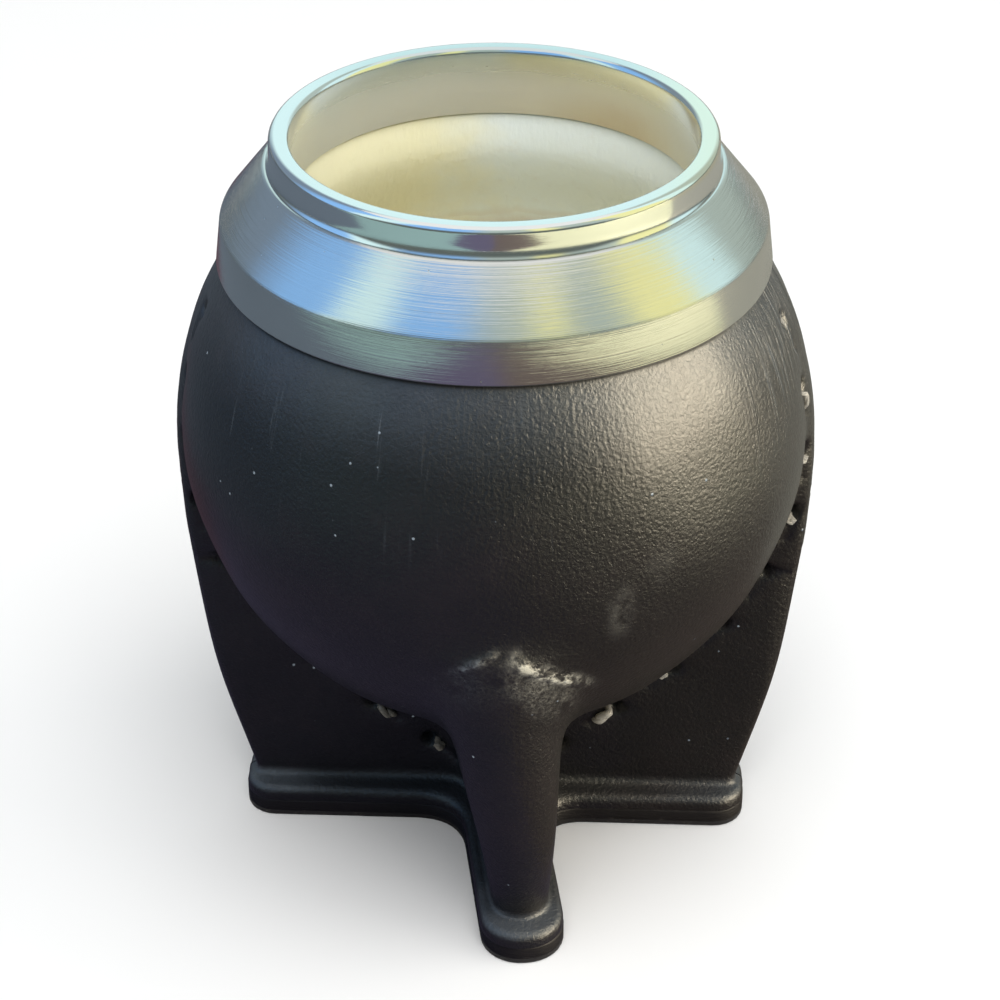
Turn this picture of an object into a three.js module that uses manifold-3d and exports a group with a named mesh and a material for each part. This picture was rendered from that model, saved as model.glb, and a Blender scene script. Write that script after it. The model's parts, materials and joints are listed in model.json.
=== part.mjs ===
// Mate gourd cup: a dried gourd in a sewn, wet-moulded leather cover that stands on four feet, with an
// aluminium ferrule round its mouth. Millimetres, +Z up, origin on the floor under the middle of the sole.
// The two side seams lie in the XZ plane, and the front leg points to -Y.

import * as THREE from 'three';
import { mergeVertices } from 'three/addons/utils/BufferGeometryUtils.js';
import Module from 'manifold-3d';

const wasm = await Module();
wasm.setup();

// Clearance between neighbouring pieces
const FIT = 0.3;

// Leather cover: an egg-shaped belly, measured on its outside
const BELLY_R = 47;
const BELLY_HALF_H = 48.5;
const BELLY_Z = 75;
const HIDE_T = 2.7;
const COVER_TUCK = 4.4;

// Side fins: both panels lie flat on each other from the belly down to the foot
const FIN_T = 6;
const FIN_EDGE_ROUND = 1.6;
const FIN_JOIN_DROP = 9;
const FIN_JOIN_PROUD = 2.2;
const FIN_FADE_DEPTH = 2.5;
const FIN_FOOT_SETBACK = 1.8;
const FIN_FILLET = 2.5;

// Front and back legs: a fold of each panel, askew to the side fins at the foot and less so at the knee
const LEG_SKEW = THREE.MathUtils.degToRad(9.3);
const LEG_TWIST = THREE.MathUtils.degToRad(6);
const LEG_FOOT_SETBACK = 4.2;
const LEG_FOOT_T = 8.6;
const KNEE_DROP = 14;
const KNEE_PROUD = 0.9;
const KNEE_T = 20;
const KNEE_FADE = 0.7;
const LEG_FILLET = 5.5;

// Feet: the panels turn out into a rounded welt that lies on the cross-shaped sole
const SOLE_T = 3.2;
const WELT_T = 2.4;
const WELT_ROUND = 1.4;
const WELT_FILLET = 1.2;
const FOOT_REACH = 41.2;
const SIDE_FOOT_W = 14;
const SIDE_FOOT_CORNER = 5;
const LEG_FOOT_W = 13;
const LEG_FOOT_CORNER = 6.2;
const FOOT_WEB = 7.5;

// Keel board inside the two legs
const KEEL_T = 3.2;
const KEEL_HORN_DROP = 32;
const KEEL_TWIST_SHARE = 0.13;

// Gourd
const SHELL_T = 5.3;
const NECK_T = 2.9;
const NECK_BLEND = 3.4;
const LEDGE_W = 1;

// Ferrule: sleeve with lip, cone and band
const MOUTH_R = 29;
const SLEEVE_T = 1.2;
const SLEEVE_DEPTH = 10.6;
const LIP_W = 3;
const LIP_H = 4.4;
const LIP_FLARE = 0.6;
const LIP_EDGE = 0.6;
const COLLAR_T = 1.2;
const COLLAR_STEP = 0.3;
const CONE_W = 6.6;
const CONE_H = 8.2;
const BAND_FLARE = 0.85;
const BAND_H = 6.5;
const BAND_HEM_T = 0.8;
const BAND_CLEAR = 0.55;

// Seam stitches: a running stitch round the belly on each side fin, down to the leg's foot and wider apart
// towards the ferrule
const THREAD_R = 0.6;
const THREAD_SUNK = 0.5;
const SEAM_SPANS = 18;
const SEAM_INSET = 0.6;
const SEAM_DROP = 11;
const SEAM_RISE_EXTRA = 13;
const SEAM_FALL = 20;
const SEAM_TOP_GAP = 2;
const SEAM_SPREAD = 4;
const SEAM_END_R = 6;
const SEAM_END_RISE = 4.4;
const SEAM_END_RUN = 18;
const SEAM_END_SLOPE = 0.75;

// Facets
const LATHE_SIDES = 36;
const SECTOR_STEPS = 8;
const WELT_RINGS = 3;
const SHANK_RINGS = 4;
const BELLY_RINGS = 14;
const BOWL_STEPS = 9;
const THREAD_SIDES = 5;
const THREAD_STEPS = 5;

// Levels and radii that follow from the sizes above
const WELT_TOP = SOLE_T + WELT_T;
const BELLY_BOTTOM = BELLY_Z - BELLY_HALF_H;
const FIN_JOIN_Z = BELLY_Z - FIN_JOIN_DROP;
const KNEE_Z = BELLY_Z - KNEE_DROP;
const LIP_R = MOUTH_R + LIP_W;
const CONE_TOP_R = LIP_R + LIP_FLARE + COLLAR_STEP;
const SHOULDER_R = CONE_TOP_R + CONE_W;
const BAND_R = SHOULDER_R + BAND_FLARE;
const BAND_Z = bellyHeight(BAND_R - BAND_HEM_T - BAND_CLEAR);
const SHOULDER_Z = BAND_Z + BAND_H;
const CONE_TOP_Z = SHOULDER_Z + CONE_H;
const TOP_Z = CONE_TOP_Z + LIP_H;
const COVER_TOP = BAND_Z + COVER_TUCK;
const SLEEVE_R = MOUTH_R + SLEEVE_T;
const SLEEVE_Z = TOP_Z - SLEEVE_DEPTH;
const SOCKET_R = SLEEVE_R + FIT;
const NECK_R = SOCKET_R + NECK_T;

// Radius of the belly at a height, and height of its upper half at a radius
function bellyRadius(z) {
  const share = (z - BELLY_Z) / BELLY_HALF_H;
  return BELLY_R * Math.sqrt(Math.max(1 - share * share, 0));
}

function bellyHeight(radius) {
  return BELLY_Z + BELLY_HALF_H * Math.sqrt(1 - (radius / BELLY_R) ** 2);
}

// Distance to a rounded bar through the axis, and the soft joining of two distances with a fillet
function barDistance(along, across, reach, width, corner) {
  const end = Math.abs(along) - reach + corner;
  const side = Math.abs(across) - width / 2 + corner;
  return Math.hypot(Math.max(end, 0), Math.max(side, 0)) + Math.min(Math.max(end, side), 0) - corner;
}

function blend(a, b, fillet) {
  const overlap = Math.max(fillet - Math.abs(a - b), 0) / fillet;
  return Math.min(a, b) - (overlap * overlap * fillet) / 4;
}

// Outer edge of the side fins: it swells from the foot to the belly and fades out under the ferrule
function finReach(z) {
  const joinR = bellyRadius(FIN_JOIN_Z) + FIN_JOIN_PROUD;
  if (z > FIN_JOIN_Z) {
    const faded = (z - FIN_JOIN_Z) / (BAND_Z - FIN_JOIN_Z);
    return bellyRadius(z) + THREE.MathUtils.lerp(FIN_JOIN_PROUD, -FIN_FADE_DEPTH, faded);
  }
  const left = (FIN_JOIN_Z - z) / (FIN_JOIN_Z - WELT_TOP);
  return joinR - (joinR - FOOT_REACH + FIN_FOOT_SETBACK) * left * left;
}

// Outer edge, thickness and direction of the legs: they swell and turn from the foot to the knee
function legReach(z) {
  const kneeR = bellyRadius(KNEE_Z) + KNEE_PROUD;
  if (z > KNEE_Z) {
    return kneeR - KNEE_FADE * (z - KNEE_Z);
  }
  const left = (KNEE_Z - z) / (KNEE_Z - WELT_TOP);
  return kneeR - (kneeR - FOOT_REACH + LEG_FOOT_SETBACK) * left * left;
}

function legRise(z) {
  return THREE.MathUtils.clamp((z - WELT_TOP) / (KNEE_Z - WELT_TOP), 0, 1);
}

function legThickness(z) {
  return THREE.MathUtils.lerp(LEG_FOOT_T, KNEE_T, legRise(z));
}

function legSkew(z) {
  return LEG_SKEW - LEG_TWIST * legRise(z);
}

// Distance from a point to the outside of the whole cover, negative inside
function coverDistance(x, y, z) {
  const skew = legSkew(z);
  const along = x * Math.sin(skew) - y * Math.cos(skew);
  const across = x * Math.cos(skew) + y * Math.sin(skew);
  const radius = Math.hypot(x, y);
  const height = z - BELLY_Z;
  const size = Math.hypot(radius / BELLY_R, height / BELLY_HALF_H);
  const slope = Math.hypot(radius / BELLY_R ** 2, height / BELLY_HALF_H ** 2);
  const belly = (size * (size - 1)) / slope;
  const fin = barDistance(x, y, finReach(z), FIN_T, FIN_EDGE_ROUND);
  const leg = barDistance(along, across, legReach(z), legThickness(z), legThickness(z) / 2);
  const upper = blend(blend(belly, fin, FIN_FILLET), leg, LEG_FILLET);
  const sideFoot = barDistance(x, y, FOOT_REACH, SIDE_FOOT_W, SIDE_FOOT_CORNER);
  const legFoot = barDistance(along, across, FOOT_REACH, LEG_FOOT_W, LEG_FOOT_CORNER);
  const rim = blend(sideFoot, legFoot, FOOT_WEB) + WELT_ROUND;
  const top = z - WELT_TOP + WELT_ROUND;
  const foot = Math.hypot(Math.max(rim, 0), Math.max(top, 0)) + Math.min(Math.max(rim, top), 0) - WELT_ROUND;
  return blend(upper, foot, WELT_FILLET);
}

// Radius of the cover's outside in one direction at one height
function coverRadius(angle, z) {
  let radius = BELLY_R + FOOT_REACH;
  for (let step = 0; step < 240; step += 1) {
    const distance = coverDistance(radius * Math.cos(angle), radius * Math.sin(angle), z);
    radius -= 0.8 * distance;
  }
  return radius;
}

// Nearest point that lies a given distance outside the cover
function settle(point, distance) {
  const delta = 0.01;
  const { x, y, z } = point;
  const here = coverDistance(x, y, z);
  const normal = new THREE.Vector3(
    coverDistance(x + delta, y, z) - here,
    coverDistance(x, y + delta, z) - here,
    coverDistance(x, y, z + delta) - here,
  ).normalize();
  return point.clone().addScaledVector(normal, distance - here);
}

function settled(point, distance) {
  let place = point;
  for (let step = 0; step < 12; step += 1) {
    place = settle(place, distance);
  }
  return place;
}

// Closed three.js geometry to solid, and solid back to geometry
function solid(geometry) {
  const bare = geometry.clone();
  bare.deleteAttribute('normal');
  bare.deleteAttribute('uv');
  const merged = mergeVertices(bare);
  const corners = merged.index.array;
  const triVerts = [];
  for (let i = 0; i < corners.length; i += 3) {
    const [a, b, c] = [corners[i], corners[i + 1], corners[i + 2]];
    if (a !== b && b !== c && c !== a) {
      triVerts.push(a, b, c);
    }
  }
  return new wasm.Manifold(new wasm.Mesh({
    numProp: 3,
    vertProperties: new Float32Array(merged.attributes.position.array),
    triVerts: new Uint32Array(triVerts),
  }));
}

function geometryOf(body) {
  const { vertProperties, triVerts } = body.getMesh();
  const geometry = new THREE.BufferGeometry();
  geometry.setAttribute('position', new THREE.BufferAttribute(vertProperties, 3));
  geometry.setIndex(new THREE.BufferAttribute(triVerts, 1));
  geometry.computeVertexNormals();
  return geometry;
}

// Solid turned about the Z axis from a profile of radius and height
function turned(profile) {
  return solid(new THREE.LatheGeometry(profile, LATHE_SIDES).rotateX(Math.PI / 2));
}

// Half profile of the gourd, drawn in by some depth from the cover's outside, up to a straight neck
function gourdProfile(inset, neckR, topZ) {
  const wide = BELLY_R - inset;
  const tall = BELLY_HALF_H - inset;
  const turn = Math.acos((neckR + NECK_BLEND) / wide);
  const bowl = new THREE.EllipseCurve(0, BELLY_Z, wide, tall, -Math.PI / 2, turn);
  const shoulder = bowl.getPoint(1);
  const rise = (NECK_BLEND * tall * Math.cos(turn)) / (wide * Math.sin(turn));
  const bend = new THREE.Vector2(neckR, shoulder.y + rise);
  const neck = new THREE.Vector2(neckR, bend.y + NECK_BLEND);
  const sweep = new THREE.QuadraticBezierCurve(shoulder, bend, neck);
  const top = new THREE.Vector2(neckR, topZ);
  const outline = [...bowl.getPoints(BOWL_STEPS), ...sweep.getPoints(3).slice(1), top];
  outline[0].x = 0;
  return outline;
}

// Upright plate in the plane of the legs, drawn as reach and height
function legPlate(outline, thickness) {
  const shape = new THREE.Shape(outline);
  const plate = new THREE.ExtrudeGeometry(shape, { depth: thickness, bevelEnabled: false });
  plate.translate(0, 0, -thickness / 2);
  plate.rotateX(Math.PI / 2);
  plate.rotateZ(LEG_SKEW - KEEL_TWIST_SHARE * LEG_TWIST - Math.PI / 2);
  return solid(plate);
}

// Directions of the rings' points: close together at the fins and legs, wide apart between them
function ringAngle(index, z) {
  const skew = legSkew(z);
  const arms = [0, Math.PI / 2 + skew, Math.PI, 1.5 * Math.PI + skew, 2 * Math.PI];
  const gap = Math.floor(index / (2 * SECTOR_STEPS));
  const step = index % (2 * SECTOR_STEPS);
  const middle = (arms[gap] + arms[gap + 1]) / 2;
  const arm = step < SECTOR_STEPS ? arms[gap] : arms[gap + 1];
  const away = Math.min(step, 2 * SECTOR_STEPS - step) / SECTOR_STEPS;
  return arm + (middle - arm) * (0.35 * away + 0.65 * away ** 3);
}

// Heights of the rings: round over the welt, then up the shank, then round the belly
function ringHeights() {
  const heights = [];
  for (let i = 0; i <= WELT_RINGS; i += 1) {
    heights.push(SOLE_T + WELT_T * Math.sin((i / WELT_RINGS) * (Math.PI / 2)));
  }
  for (let i = 1; i <= SHANK_RINGS; i += 1) {
    heights.push(WELT_TOP + (BELLY_BOTTOM - WELT_TOP) * (i / SHANK_RINGS) ** 1.5);
  }
  const first = THREE.MathUtils.degToRad(10);
  const last = Math.acos((BELLY_Z - COVER_TOP) / BELLY_HALF_H);
  for (let i = 1; i <= BELLY_RINGS; i += 1) {
    const turn = THREE.MathUtils.lerp(first, last, i / BELLY_RINGS);
    heights.push(BELLY_Z - BELLY_HALF_H * Math.cos(turn));
  }
  return heights;
}

// Outside of the whole cover: a drum whose rings are pushed out to the cover's surface
function coverBody() {
  const heights = ringHeights();
  const sides = 8 * SECTOR_STEPS;
  const levels = heights.length - 1;
  const drum = new THREE.CylinderGeometry(1, 1, 1, sides, levels).rotateX(Math.PI / 2);
  const place = drum.attributes.position;
  for (let i = 0; i < place.count; i += 1) {
    const turn = Math.atan2(place.getY(i), place.getX(i)) / (2 * Math.PI);
    const z = heights[Math.round((place.getZ(i) + 0.5) * levels)];
    const angle = ringAngle((Math.round(turn * sides) + sides) % sides, z);
    const onAxis = Math.hypot(place.getX(i), place.getY(i)) < 0.5;
    const radius = onAxis ? 0 : coverRadius(angle, z);
    place.setXYZ(i, radius * Math.cos(angle), radius * Math.sin(angle), z);
  }
  return solid(drum);
}

// Outline of the feet on the sole
function footOutline() {
  const outline = [];
  for (let i = 0; i < 8 * SECTOR_STEPS; i += 1) {
    const angle = ringAngle(i, SOLE_T);
    const radius = coverRadius(angle, SOLE_T);
    outline.push(new THREE.Vector2(radius * Math.cos(angle), radius * Math.sin(angle)));
  }
  return outline;
}

// Route of one running stitch: through the seam at every hole, and along the front and the back in turn
function stitchRoute(side) {
  const wide = BELLY_R - SEAM_INSET;
  const middle = BELLY_Z - SEAM_DROP;
  const rise = BELLY_HALF_H + SEAM_RISE_EXTRA;
  const top = Math.asin((BAND_Z - SEAM_TOP_GAP - middle) / rise);
  const endZ = WELT_TOP + SEAM_END_RISE;
  const pull = new THREE.Vector2(SEAM_END_R + SEAM_END_RUN, endZ + SEAM_END_RUN * SEAM_END_SLOPE);
  const seam = new THREE.Path();
  seam.absellipse(0, middle, wide, rise, top, 0, true);
  seam.bezierCurveTo(wide, middle - SEAM_FALL, pull.x, pull.y, SEAM_END_R, endZ);
  const route = [];
  for (let i = 0; i < SEAM_SPANS; i += 1) {
    for (const share of [0, 0.3, 0.5, 0.7]) {
      const { x, y } = seam.getPointAt((i + share) / SEAM_SPANS);
      const face = share === 0 ? 0 : (i % 2 === 0 ? 1 : -1);
      const upper = Math.max(y - FIN_JOIN_Z, 0) / (BAND_Z - FIN_JOIN_Z);
      const start = new THREE.Vector3(side * x, face * (FIN_T / 2 + THREAD_R + SEAM_SPREAD * upper), y);
      route.push(share === 0 ? start : settled(start, THREAD_R - THREAD_SUNK));
    }
  }
  const last = seam.getPointAt(1);
  route.push(new THREE.Vector3(side * last.x, 0, last.y));
  return { curve: new THREE.CatmullRomCurve3(route), steps: SEAM_SPANS * THREAD_STEPS };
}

function threadBody({ curve, steps }, radius) {
  const section = new THREE.Shape().absarc(0, 0, radius, 0, 2 * Math.PI);
  const round = new THREE.Shape(section.getSpacedPoints(THREAD_SIDES).slice(0, THREAD_SIDES));
  return solid(new THREE.ExtrudeGeometry(round, { steps, extrudePath: curve, bevelEnabled: false }));
}

// Channel that the thread runs in, with room past both of its ends
function threadChannel(route) {
  let channel = threadBody(route, THREAD_R + FIT);
  for (const end of [0, 1]) {
    const { x, y, z } = route.curve.getPoint(end);
    const pocket = new THREE.SphereGeometry(THREAD_R + 1.5 * FIT, THREAD_SIDES, THREAD_SIDES);
    channel = channel.add(solid(pocket.translate(x, y, z)));
  }
  return channel;
}

// Half space in front of or behind the seam plane
function seamSide(face) {
  const size = 4 * (BELLY_R + TOP_Z);
  const half = new THREE.BoxGeometry(size, size, size);
  return solid(half.translate(0, face * (size + FIT) / 2, 0));
}

// Gourd: closed at the bottom, with a ledge in its neck that the sleeve stands on
const gourdInset = HIDE_T + FIT;
const coneSlope = CONE_H / CONE_W;
const coneNormal = new THREE.Vector2(CONE_H, CONE_W).normalize();
const coneInnerTopR = CONE_TOP_R - COLLAR_T * coneNormal.x;
const coneInnerTopZ = CONE_TOP_Z - COLLAR_T * coneNormal.y;
const gourdTop = coneInnerTopZ - (NECK_R - coneInnerTopR) * coneSlope - 2 * FIT;
const ledgeZ = SLEEVE_Z - FIT;
const gourdWall = [
  ...gourdProfile(gourdInset, NECK_R, gourdTop),
  new THREE.Vector2(SOCKET_R, gourdTop),
  new THREE.Vector2(SOCKET_R, ledgeZ),
  ...gourdProfile(gourdInset + SHELL_T, SOCKET_R - LEDGE_W, ledgeZ).reverse(),
];
const gourd = turned(gourdWall);

// Room that the gourd takes in the pieces round it
const gourdSeat = turned(gourdProfile(gourdInset - FIT, NECK_R + FIT, gourdTop).concat(
  new THREE.Vector2(0, gourdTop),
));

// Mouth sleeve with its lip, and the collar that the lip rests on
const sleeve = turned([
  new THREE.Vector2(MOUTH_R, SLEEVE_Z),
  new THREE.Vector2(SLEEVE_R, SLEEVE_Z),
  new THREE.Vector2(SLEEVE_R, CONE_TOP_Z),
  new THREE.Vector2(LIP_R + LIP_FLARE, CONE_TOP_Z),
  new THREE.Vector2(LIP_R, TOP_Z - LIP_EDGE),
  new THREE.Vector2(LIP_R - LIP_EDGE, TOP_Z),
  new THREE.Vector2(MOUTH_R + LIP_EDGE, TOP_Z),
  new THREE.Vector2(MOUTH_R, TOP_Z - LIP_EDGE),
  new THREE.Vector2(MOUTH_R, SLEEVE_Z),
]);
const shoulderInnerR = SHOULDER_R - COLLAR_T * coneNormal.x;
const shoulderInnerZ = SHOULDER_Z - COLLAR_T * coneNormal.y;
const flangeZ = CONE_TOP_Z - COLLAR_T;
const flangeR = coneInnerTopR - (flangeZ - coneInnerTopZ) / coneSlope;
const collar = turned([
  new THREE.Vector2(BAND_R - BAND_HEM_T, BAND_Z),
  new THREE.Vector2(BAND_R, BAND_Z),
  new THREE.Vector2(SHOULDER_R, SHOULDER_Z),
  new THREE.Vector2(CONE_TOP_R, CONE_TOP_Z),
  new THREE.Vector2(SOCKET_R, CONE_TOP_Z),
  new THREE.Vector2(SOCKET_R, flangeZ),
  new THREE.Vector2(flangeR, flangeZ),
  new THREE.Vector2(shoulderInnerR, shoulderInnerZ),
  new THREE.Vector2(BAND_R - BAND_HEM_T, BAND_Z),
]);

// Bedding: cast into the corner between the gourd's neck, the cover's top edge and the collar
const beddingZ = COVER_TOP + FIT;
const beddingR = NECK_R + FIT;
const beddingOuterR = shoulderInnerR - FIT;
const beddingOuterZ = shoulderInnerZ - FIT;
const beddingTopZ = beddingOuterZ + (beddingOuterR - beddingR) * coneSlope;
const bedding = turned([
  new THREE.Vector2(SOCKET_R, beddingZ),
  new THREE.Vector2(beddingOuterR, beddingZ),
  new THREE.Vector2(beddingOuterR, beddingOuterZ),
  new THREE.Vector2(beddingR, beddingTopZ),
  new THREE.Vector2(SOCKET_R, beddingTopZ),
  new THREE.Vector2(SOCKET_R, beddingZ),
]).subtract(gourdSeat);

// Keel board: stands on the sole, fills both legs and carries the gourd in a round seat
function keelOutline(clearance) {
  const hornZ = BELLY_Z - KEEL_HORN_DROP + clearance;
  const edge = [];
  for (let i = 0; i <= 8; i += 1) {
    const z = THREE.MathUtils.lerp(WELT_TOP, hornZ, i / 8);
    edge.push(new THREE.Vector2(legReach(z) - HIDE_T - FIT + clearance, z));
  }
  const right = [new THREE.Vector2(edge[0].x, SOLE_T), ...edge];
  const left = right.map((point) => new THREE.Vector2(-point.x, point.y)).reverse();
  return [...right, ...left];
}

const keel = legPlate(keelOutline(0), KEEL_T).subtract(gourdSeat);

// Leather panels: the cover without gourd, keel and stitch holes, parted at the seam
const rightRoute = stitchRoute(1);
const leftRoute = stitchRoute(-1);
const cover = coverBody()
  .subtract(gourdSeat)
  .subtract(legPlate(keelOutline(FIT), KEEL_T + 2 * FIT))
  .subtract(threadChannel(rightRoute))
  .subtract(threadChannel(leftRoute));

// Sole: the feet's outline, flat above and below
const soleShape = new THREE.Shape(footOutline());
const sole = solid(new THREE.ExtrudeGeometry(soleShape, { depth: SOLE_T, bevelEnabled: false }));

// Finishes
const polishedMetal = { color: 0xc9cdcb, roughness: 0.16, metalness: 1 };
const brushedMetal = { color: 0xb7bab6, roughness: 0.38, metalness: 1 };
const blackHide = { color: 0x1b1b1d, roughness: 0.45, metalness: 0 };
const soleHide = { color: 0x151416, roughness: 0.6, metalness: 0 };
const driedGourd = { color: 0xc3b48d, roughness: 0.75, metalness: 0 };
const waxedThread = { color: 0xc9bfa4, roughness: 0.6, metalness: 0 };
const paleWood = { color: 0xb48a58, roughness: 0.8, metalness: 0 };
const resin = { color: 0x6b5236, roughness: 0.7, metalness: 0 };

function piece(name, body, finish) {
  const mesh = new THREE.Mesh(geometryOf(body), new THREE.MeshStandardMaterial(finish));
  mesh.name = name;
  return mesh;
}

const cup = new THREE.Group();
cup.name = 'mate_gourd_cup';
cup.add(
  piece('mouth_sleeve', sleeve, polishedMetal),
  piece('ferrule_collar', collar, brushedMetal),
  piece('ferrule_bedding', bedding, resin),
  piece('gourd_shell', gourd, driedGourd),
  piece('front_leather_panel', cover.intersect(seamSide(-1)), blackHide),
  piece('back_leather_panel', cover.intersect(seamSide(1)), blackHide),
  piece('right_seam_thread', threadBody(rightRoute, THREAD_R), waxedThread),
  piece('left_seam_thread', threadBody(leftRoute, THREAD_R), waxedThread),
  piece('keel_board', keel, paleWood),
  piece('sole', sole, soleHide),
);

export default cup;
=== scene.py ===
import json
import math

import bmesh
import bpy
import numpy as np
from bpy.props import FloatProperty, FloatVectorProperty, IntProperty, PointerProperty
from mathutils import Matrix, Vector
from mathutils.kdtree import KDTree

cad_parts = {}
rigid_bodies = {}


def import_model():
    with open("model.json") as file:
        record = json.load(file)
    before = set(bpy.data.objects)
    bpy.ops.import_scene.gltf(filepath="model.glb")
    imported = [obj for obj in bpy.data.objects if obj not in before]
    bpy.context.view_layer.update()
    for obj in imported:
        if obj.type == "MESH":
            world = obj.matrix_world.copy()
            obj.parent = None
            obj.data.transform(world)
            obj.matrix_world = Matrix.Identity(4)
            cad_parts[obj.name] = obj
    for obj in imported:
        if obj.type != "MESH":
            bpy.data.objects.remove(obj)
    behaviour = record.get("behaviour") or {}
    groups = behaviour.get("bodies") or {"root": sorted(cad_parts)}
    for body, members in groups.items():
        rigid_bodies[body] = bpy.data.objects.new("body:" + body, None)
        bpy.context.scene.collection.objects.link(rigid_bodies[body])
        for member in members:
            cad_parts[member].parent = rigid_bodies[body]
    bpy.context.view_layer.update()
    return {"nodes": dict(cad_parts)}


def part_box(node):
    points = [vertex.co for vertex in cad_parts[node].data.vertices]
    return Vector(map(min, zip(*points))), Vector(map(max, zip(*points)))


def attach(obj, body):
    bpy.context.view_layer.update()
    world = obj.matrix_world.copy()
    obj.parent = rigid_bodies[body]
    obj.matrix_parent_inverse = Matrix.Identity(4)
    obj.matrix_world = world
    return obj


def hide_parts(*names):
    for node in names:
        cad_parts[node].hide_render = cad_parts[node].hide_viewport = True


bl_info = {
    "name": "Mate gourd cup",
    "version": (1, 0, 0),
    "blender": (4, 5, 0),
    "location": "View3D > Sidebar > Mate cup",
    "description": "Sewn cover, turned ferrule, gourd, sole and studio of a mate gourd cup",
    "category": "Object",
}

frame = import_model()

# Levels that the solids give, in metres
BAND_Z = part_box("ferrule_collar")[0].z
CONE_TOP_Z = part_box("ferrule_collar")[1].z
COVER_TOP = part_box("front_leather_panel")[1].z
SOLE_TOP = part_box("sole")[1].z
LIP_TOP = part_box("mouth_sleeve")[1].z
SLEEVE_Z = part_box("mouth_sleeve")[0].z
GOURD_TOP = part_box("gourd_shell")[1].z

# Mesh fineness
PANEL_COLUMNS = 150
PANEL_ROWS = 140
TURNED_STEPS = 144
SOLE_CORNERS = 240
SPAN_POINTS = 26
REFINED_REACHES = (0.0042, 0.0022)
SPACING_HEIGHTS = (0.0045, 0.012, 0.022, 0.035, 0.05, 0.07, 0.085, 0.1)
SPACING_TURNS = (3, 20, 50, 80, 97, 120, 150)

# How a stitch lies, in shares of the span between two awl holes
DIVE = 0.15
BEAD_START = (0.23, 0.31)
BEAD_FADE = 0.12
LONG_STITCH = 0.9
SHORT_STITCH = 0.48
ENTRY = 0.05

# Heights between which the thread changes, in metres
DRAWN_IN = (0.028, 0.031)
LET_OUT = (0.052, 0.055)
DRAWN_IN_ABOVE = (0.082, 0.085)
LAID_FLAT = (0.066, 0.072)
THINNED = (0.068, 0.08)

# Thread and the leather round it, in metres
SUNK = 0.0025
START_GAP = 0.0006
GROOVE_REACH = 0.0009
DIMPLE = 0.00022
DIMPLE_REACH = 0.0028
LUMP = 0.00016

# Fold at the knee: its peak over the knee's height in metres, and its slopes to both sides
FOLD_PEAK = 0.0024
FOLD_SLOPE_RIGHT = 0.80
FOLD_SLOPE_LEFT = 0.56

# Camera that fits the photograph, in millimetres, metres and radians
SENSOR = 36.0
FOCAL_LENGTH = 88.54
CAMERA_AWAY = 0.3207
CAMERA_Z = 0.26496
CAMERA_TURN = math.radians(2.5)
CAMERA_DIP = 0.5718
CAMERA_PAN = 0.0025

# World: the light that falls on things, and what the camera and mirrors see of it
SOFT_LIGHT = (0.41, 0.42, 0.43)
WHITE = (1.0, 1.0, 1.0)

# Lamps: azimuth, elevation, distance, size, watts, tint and whether mirrors show them
AIM_Z = 0.07
LAMPS = {
    "soft_top": (172, 64, 2.0, 1.6, 33.0, (1.0, 0.99, 0.98), False),
    "sky_window": (25, 84, 1.8, 1.2, 3.4, (0.84, 0.93, 1.0), True),
    "soft_side": (95, 40, 1.6, 1.2, 7.0, (1.0, 0.96, 0.90), False),
    "bowl_lamp": (178, 80, 1.6, 0.8, 6.0, (0.93, 0.98, 1.0), False),
    "low_sun": (106, 18, 1.0, 0.75, 33.0, (1.0, 0.87, 0.65), True),
}

# Panels round the set by azimuth, and cards on the floor by their four sides
PANEL_RADIUS = 1.5
PANEL_HEIGHT = 2.4
PANEL_STRENGTH = 1.12
PANELS = (
    (-180, "plain"), (-166, "sky"), (-138, "sky"), (-131, "pale"), (-114, "pale"), (-108, "sky"),
    (-88, "sky"), (-66, "dark"), (-40, "dark"), (-18, "pale"), (18, "pale"), (36, "plain"),
    (62, "plain"), (68, "pale"), (84, "pale"), (90, "warm"), (114, "warm"), (119, "plain"),
    (142, "plain"), (147, "warm"), (156, "warm"), (161, "plain"), (180, "plain"),
)
CARDS = (
    ("front_card", -0.13, 0.02, -1.4, 0.04),
    ("warm_card", 0.02, 0.19, -1.4, 0.04),
    ("rear_card", -0.13, 0.02, 0.04, 0.9),
    ("side_card", 0.02, 1.4, 0.04, 0.9),
    ("corner_card", -1.4, -0.13, -1.4, -0.19),
    ("left_card", -1.4, -0.13, -0.19, 0.9),
    ("right_card", 0.19, 1.4, -1.4, 0.04),
)
CARD_Z = 0.001
FLOOR_HALF = 4.0


def length(name, description, millimetres):
    """A length that the user can change, given in millimetres."""
    return FloatProperty(
        name=name, description=description, default=millimetres / 1000, min=0.0,
        unit="LENGTH", precision=5,
    )


def turned(name, description, degrees):
    """An angle that the user can change, given in degrees."""
    return FloatProperty(
        name=name, description=description, default=math.radians(degrees),
        subtype="ANGLE", unit="ROTATION",
    )


def colour(name, description, red, green, blue):
    """A linear colour that the user can change."""
    return FloatVectorProperty(
        name=name, description=description, default=(red, green, blue), min=0.0, max=1.0,
        subtype="COLOR",
    )


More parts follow.
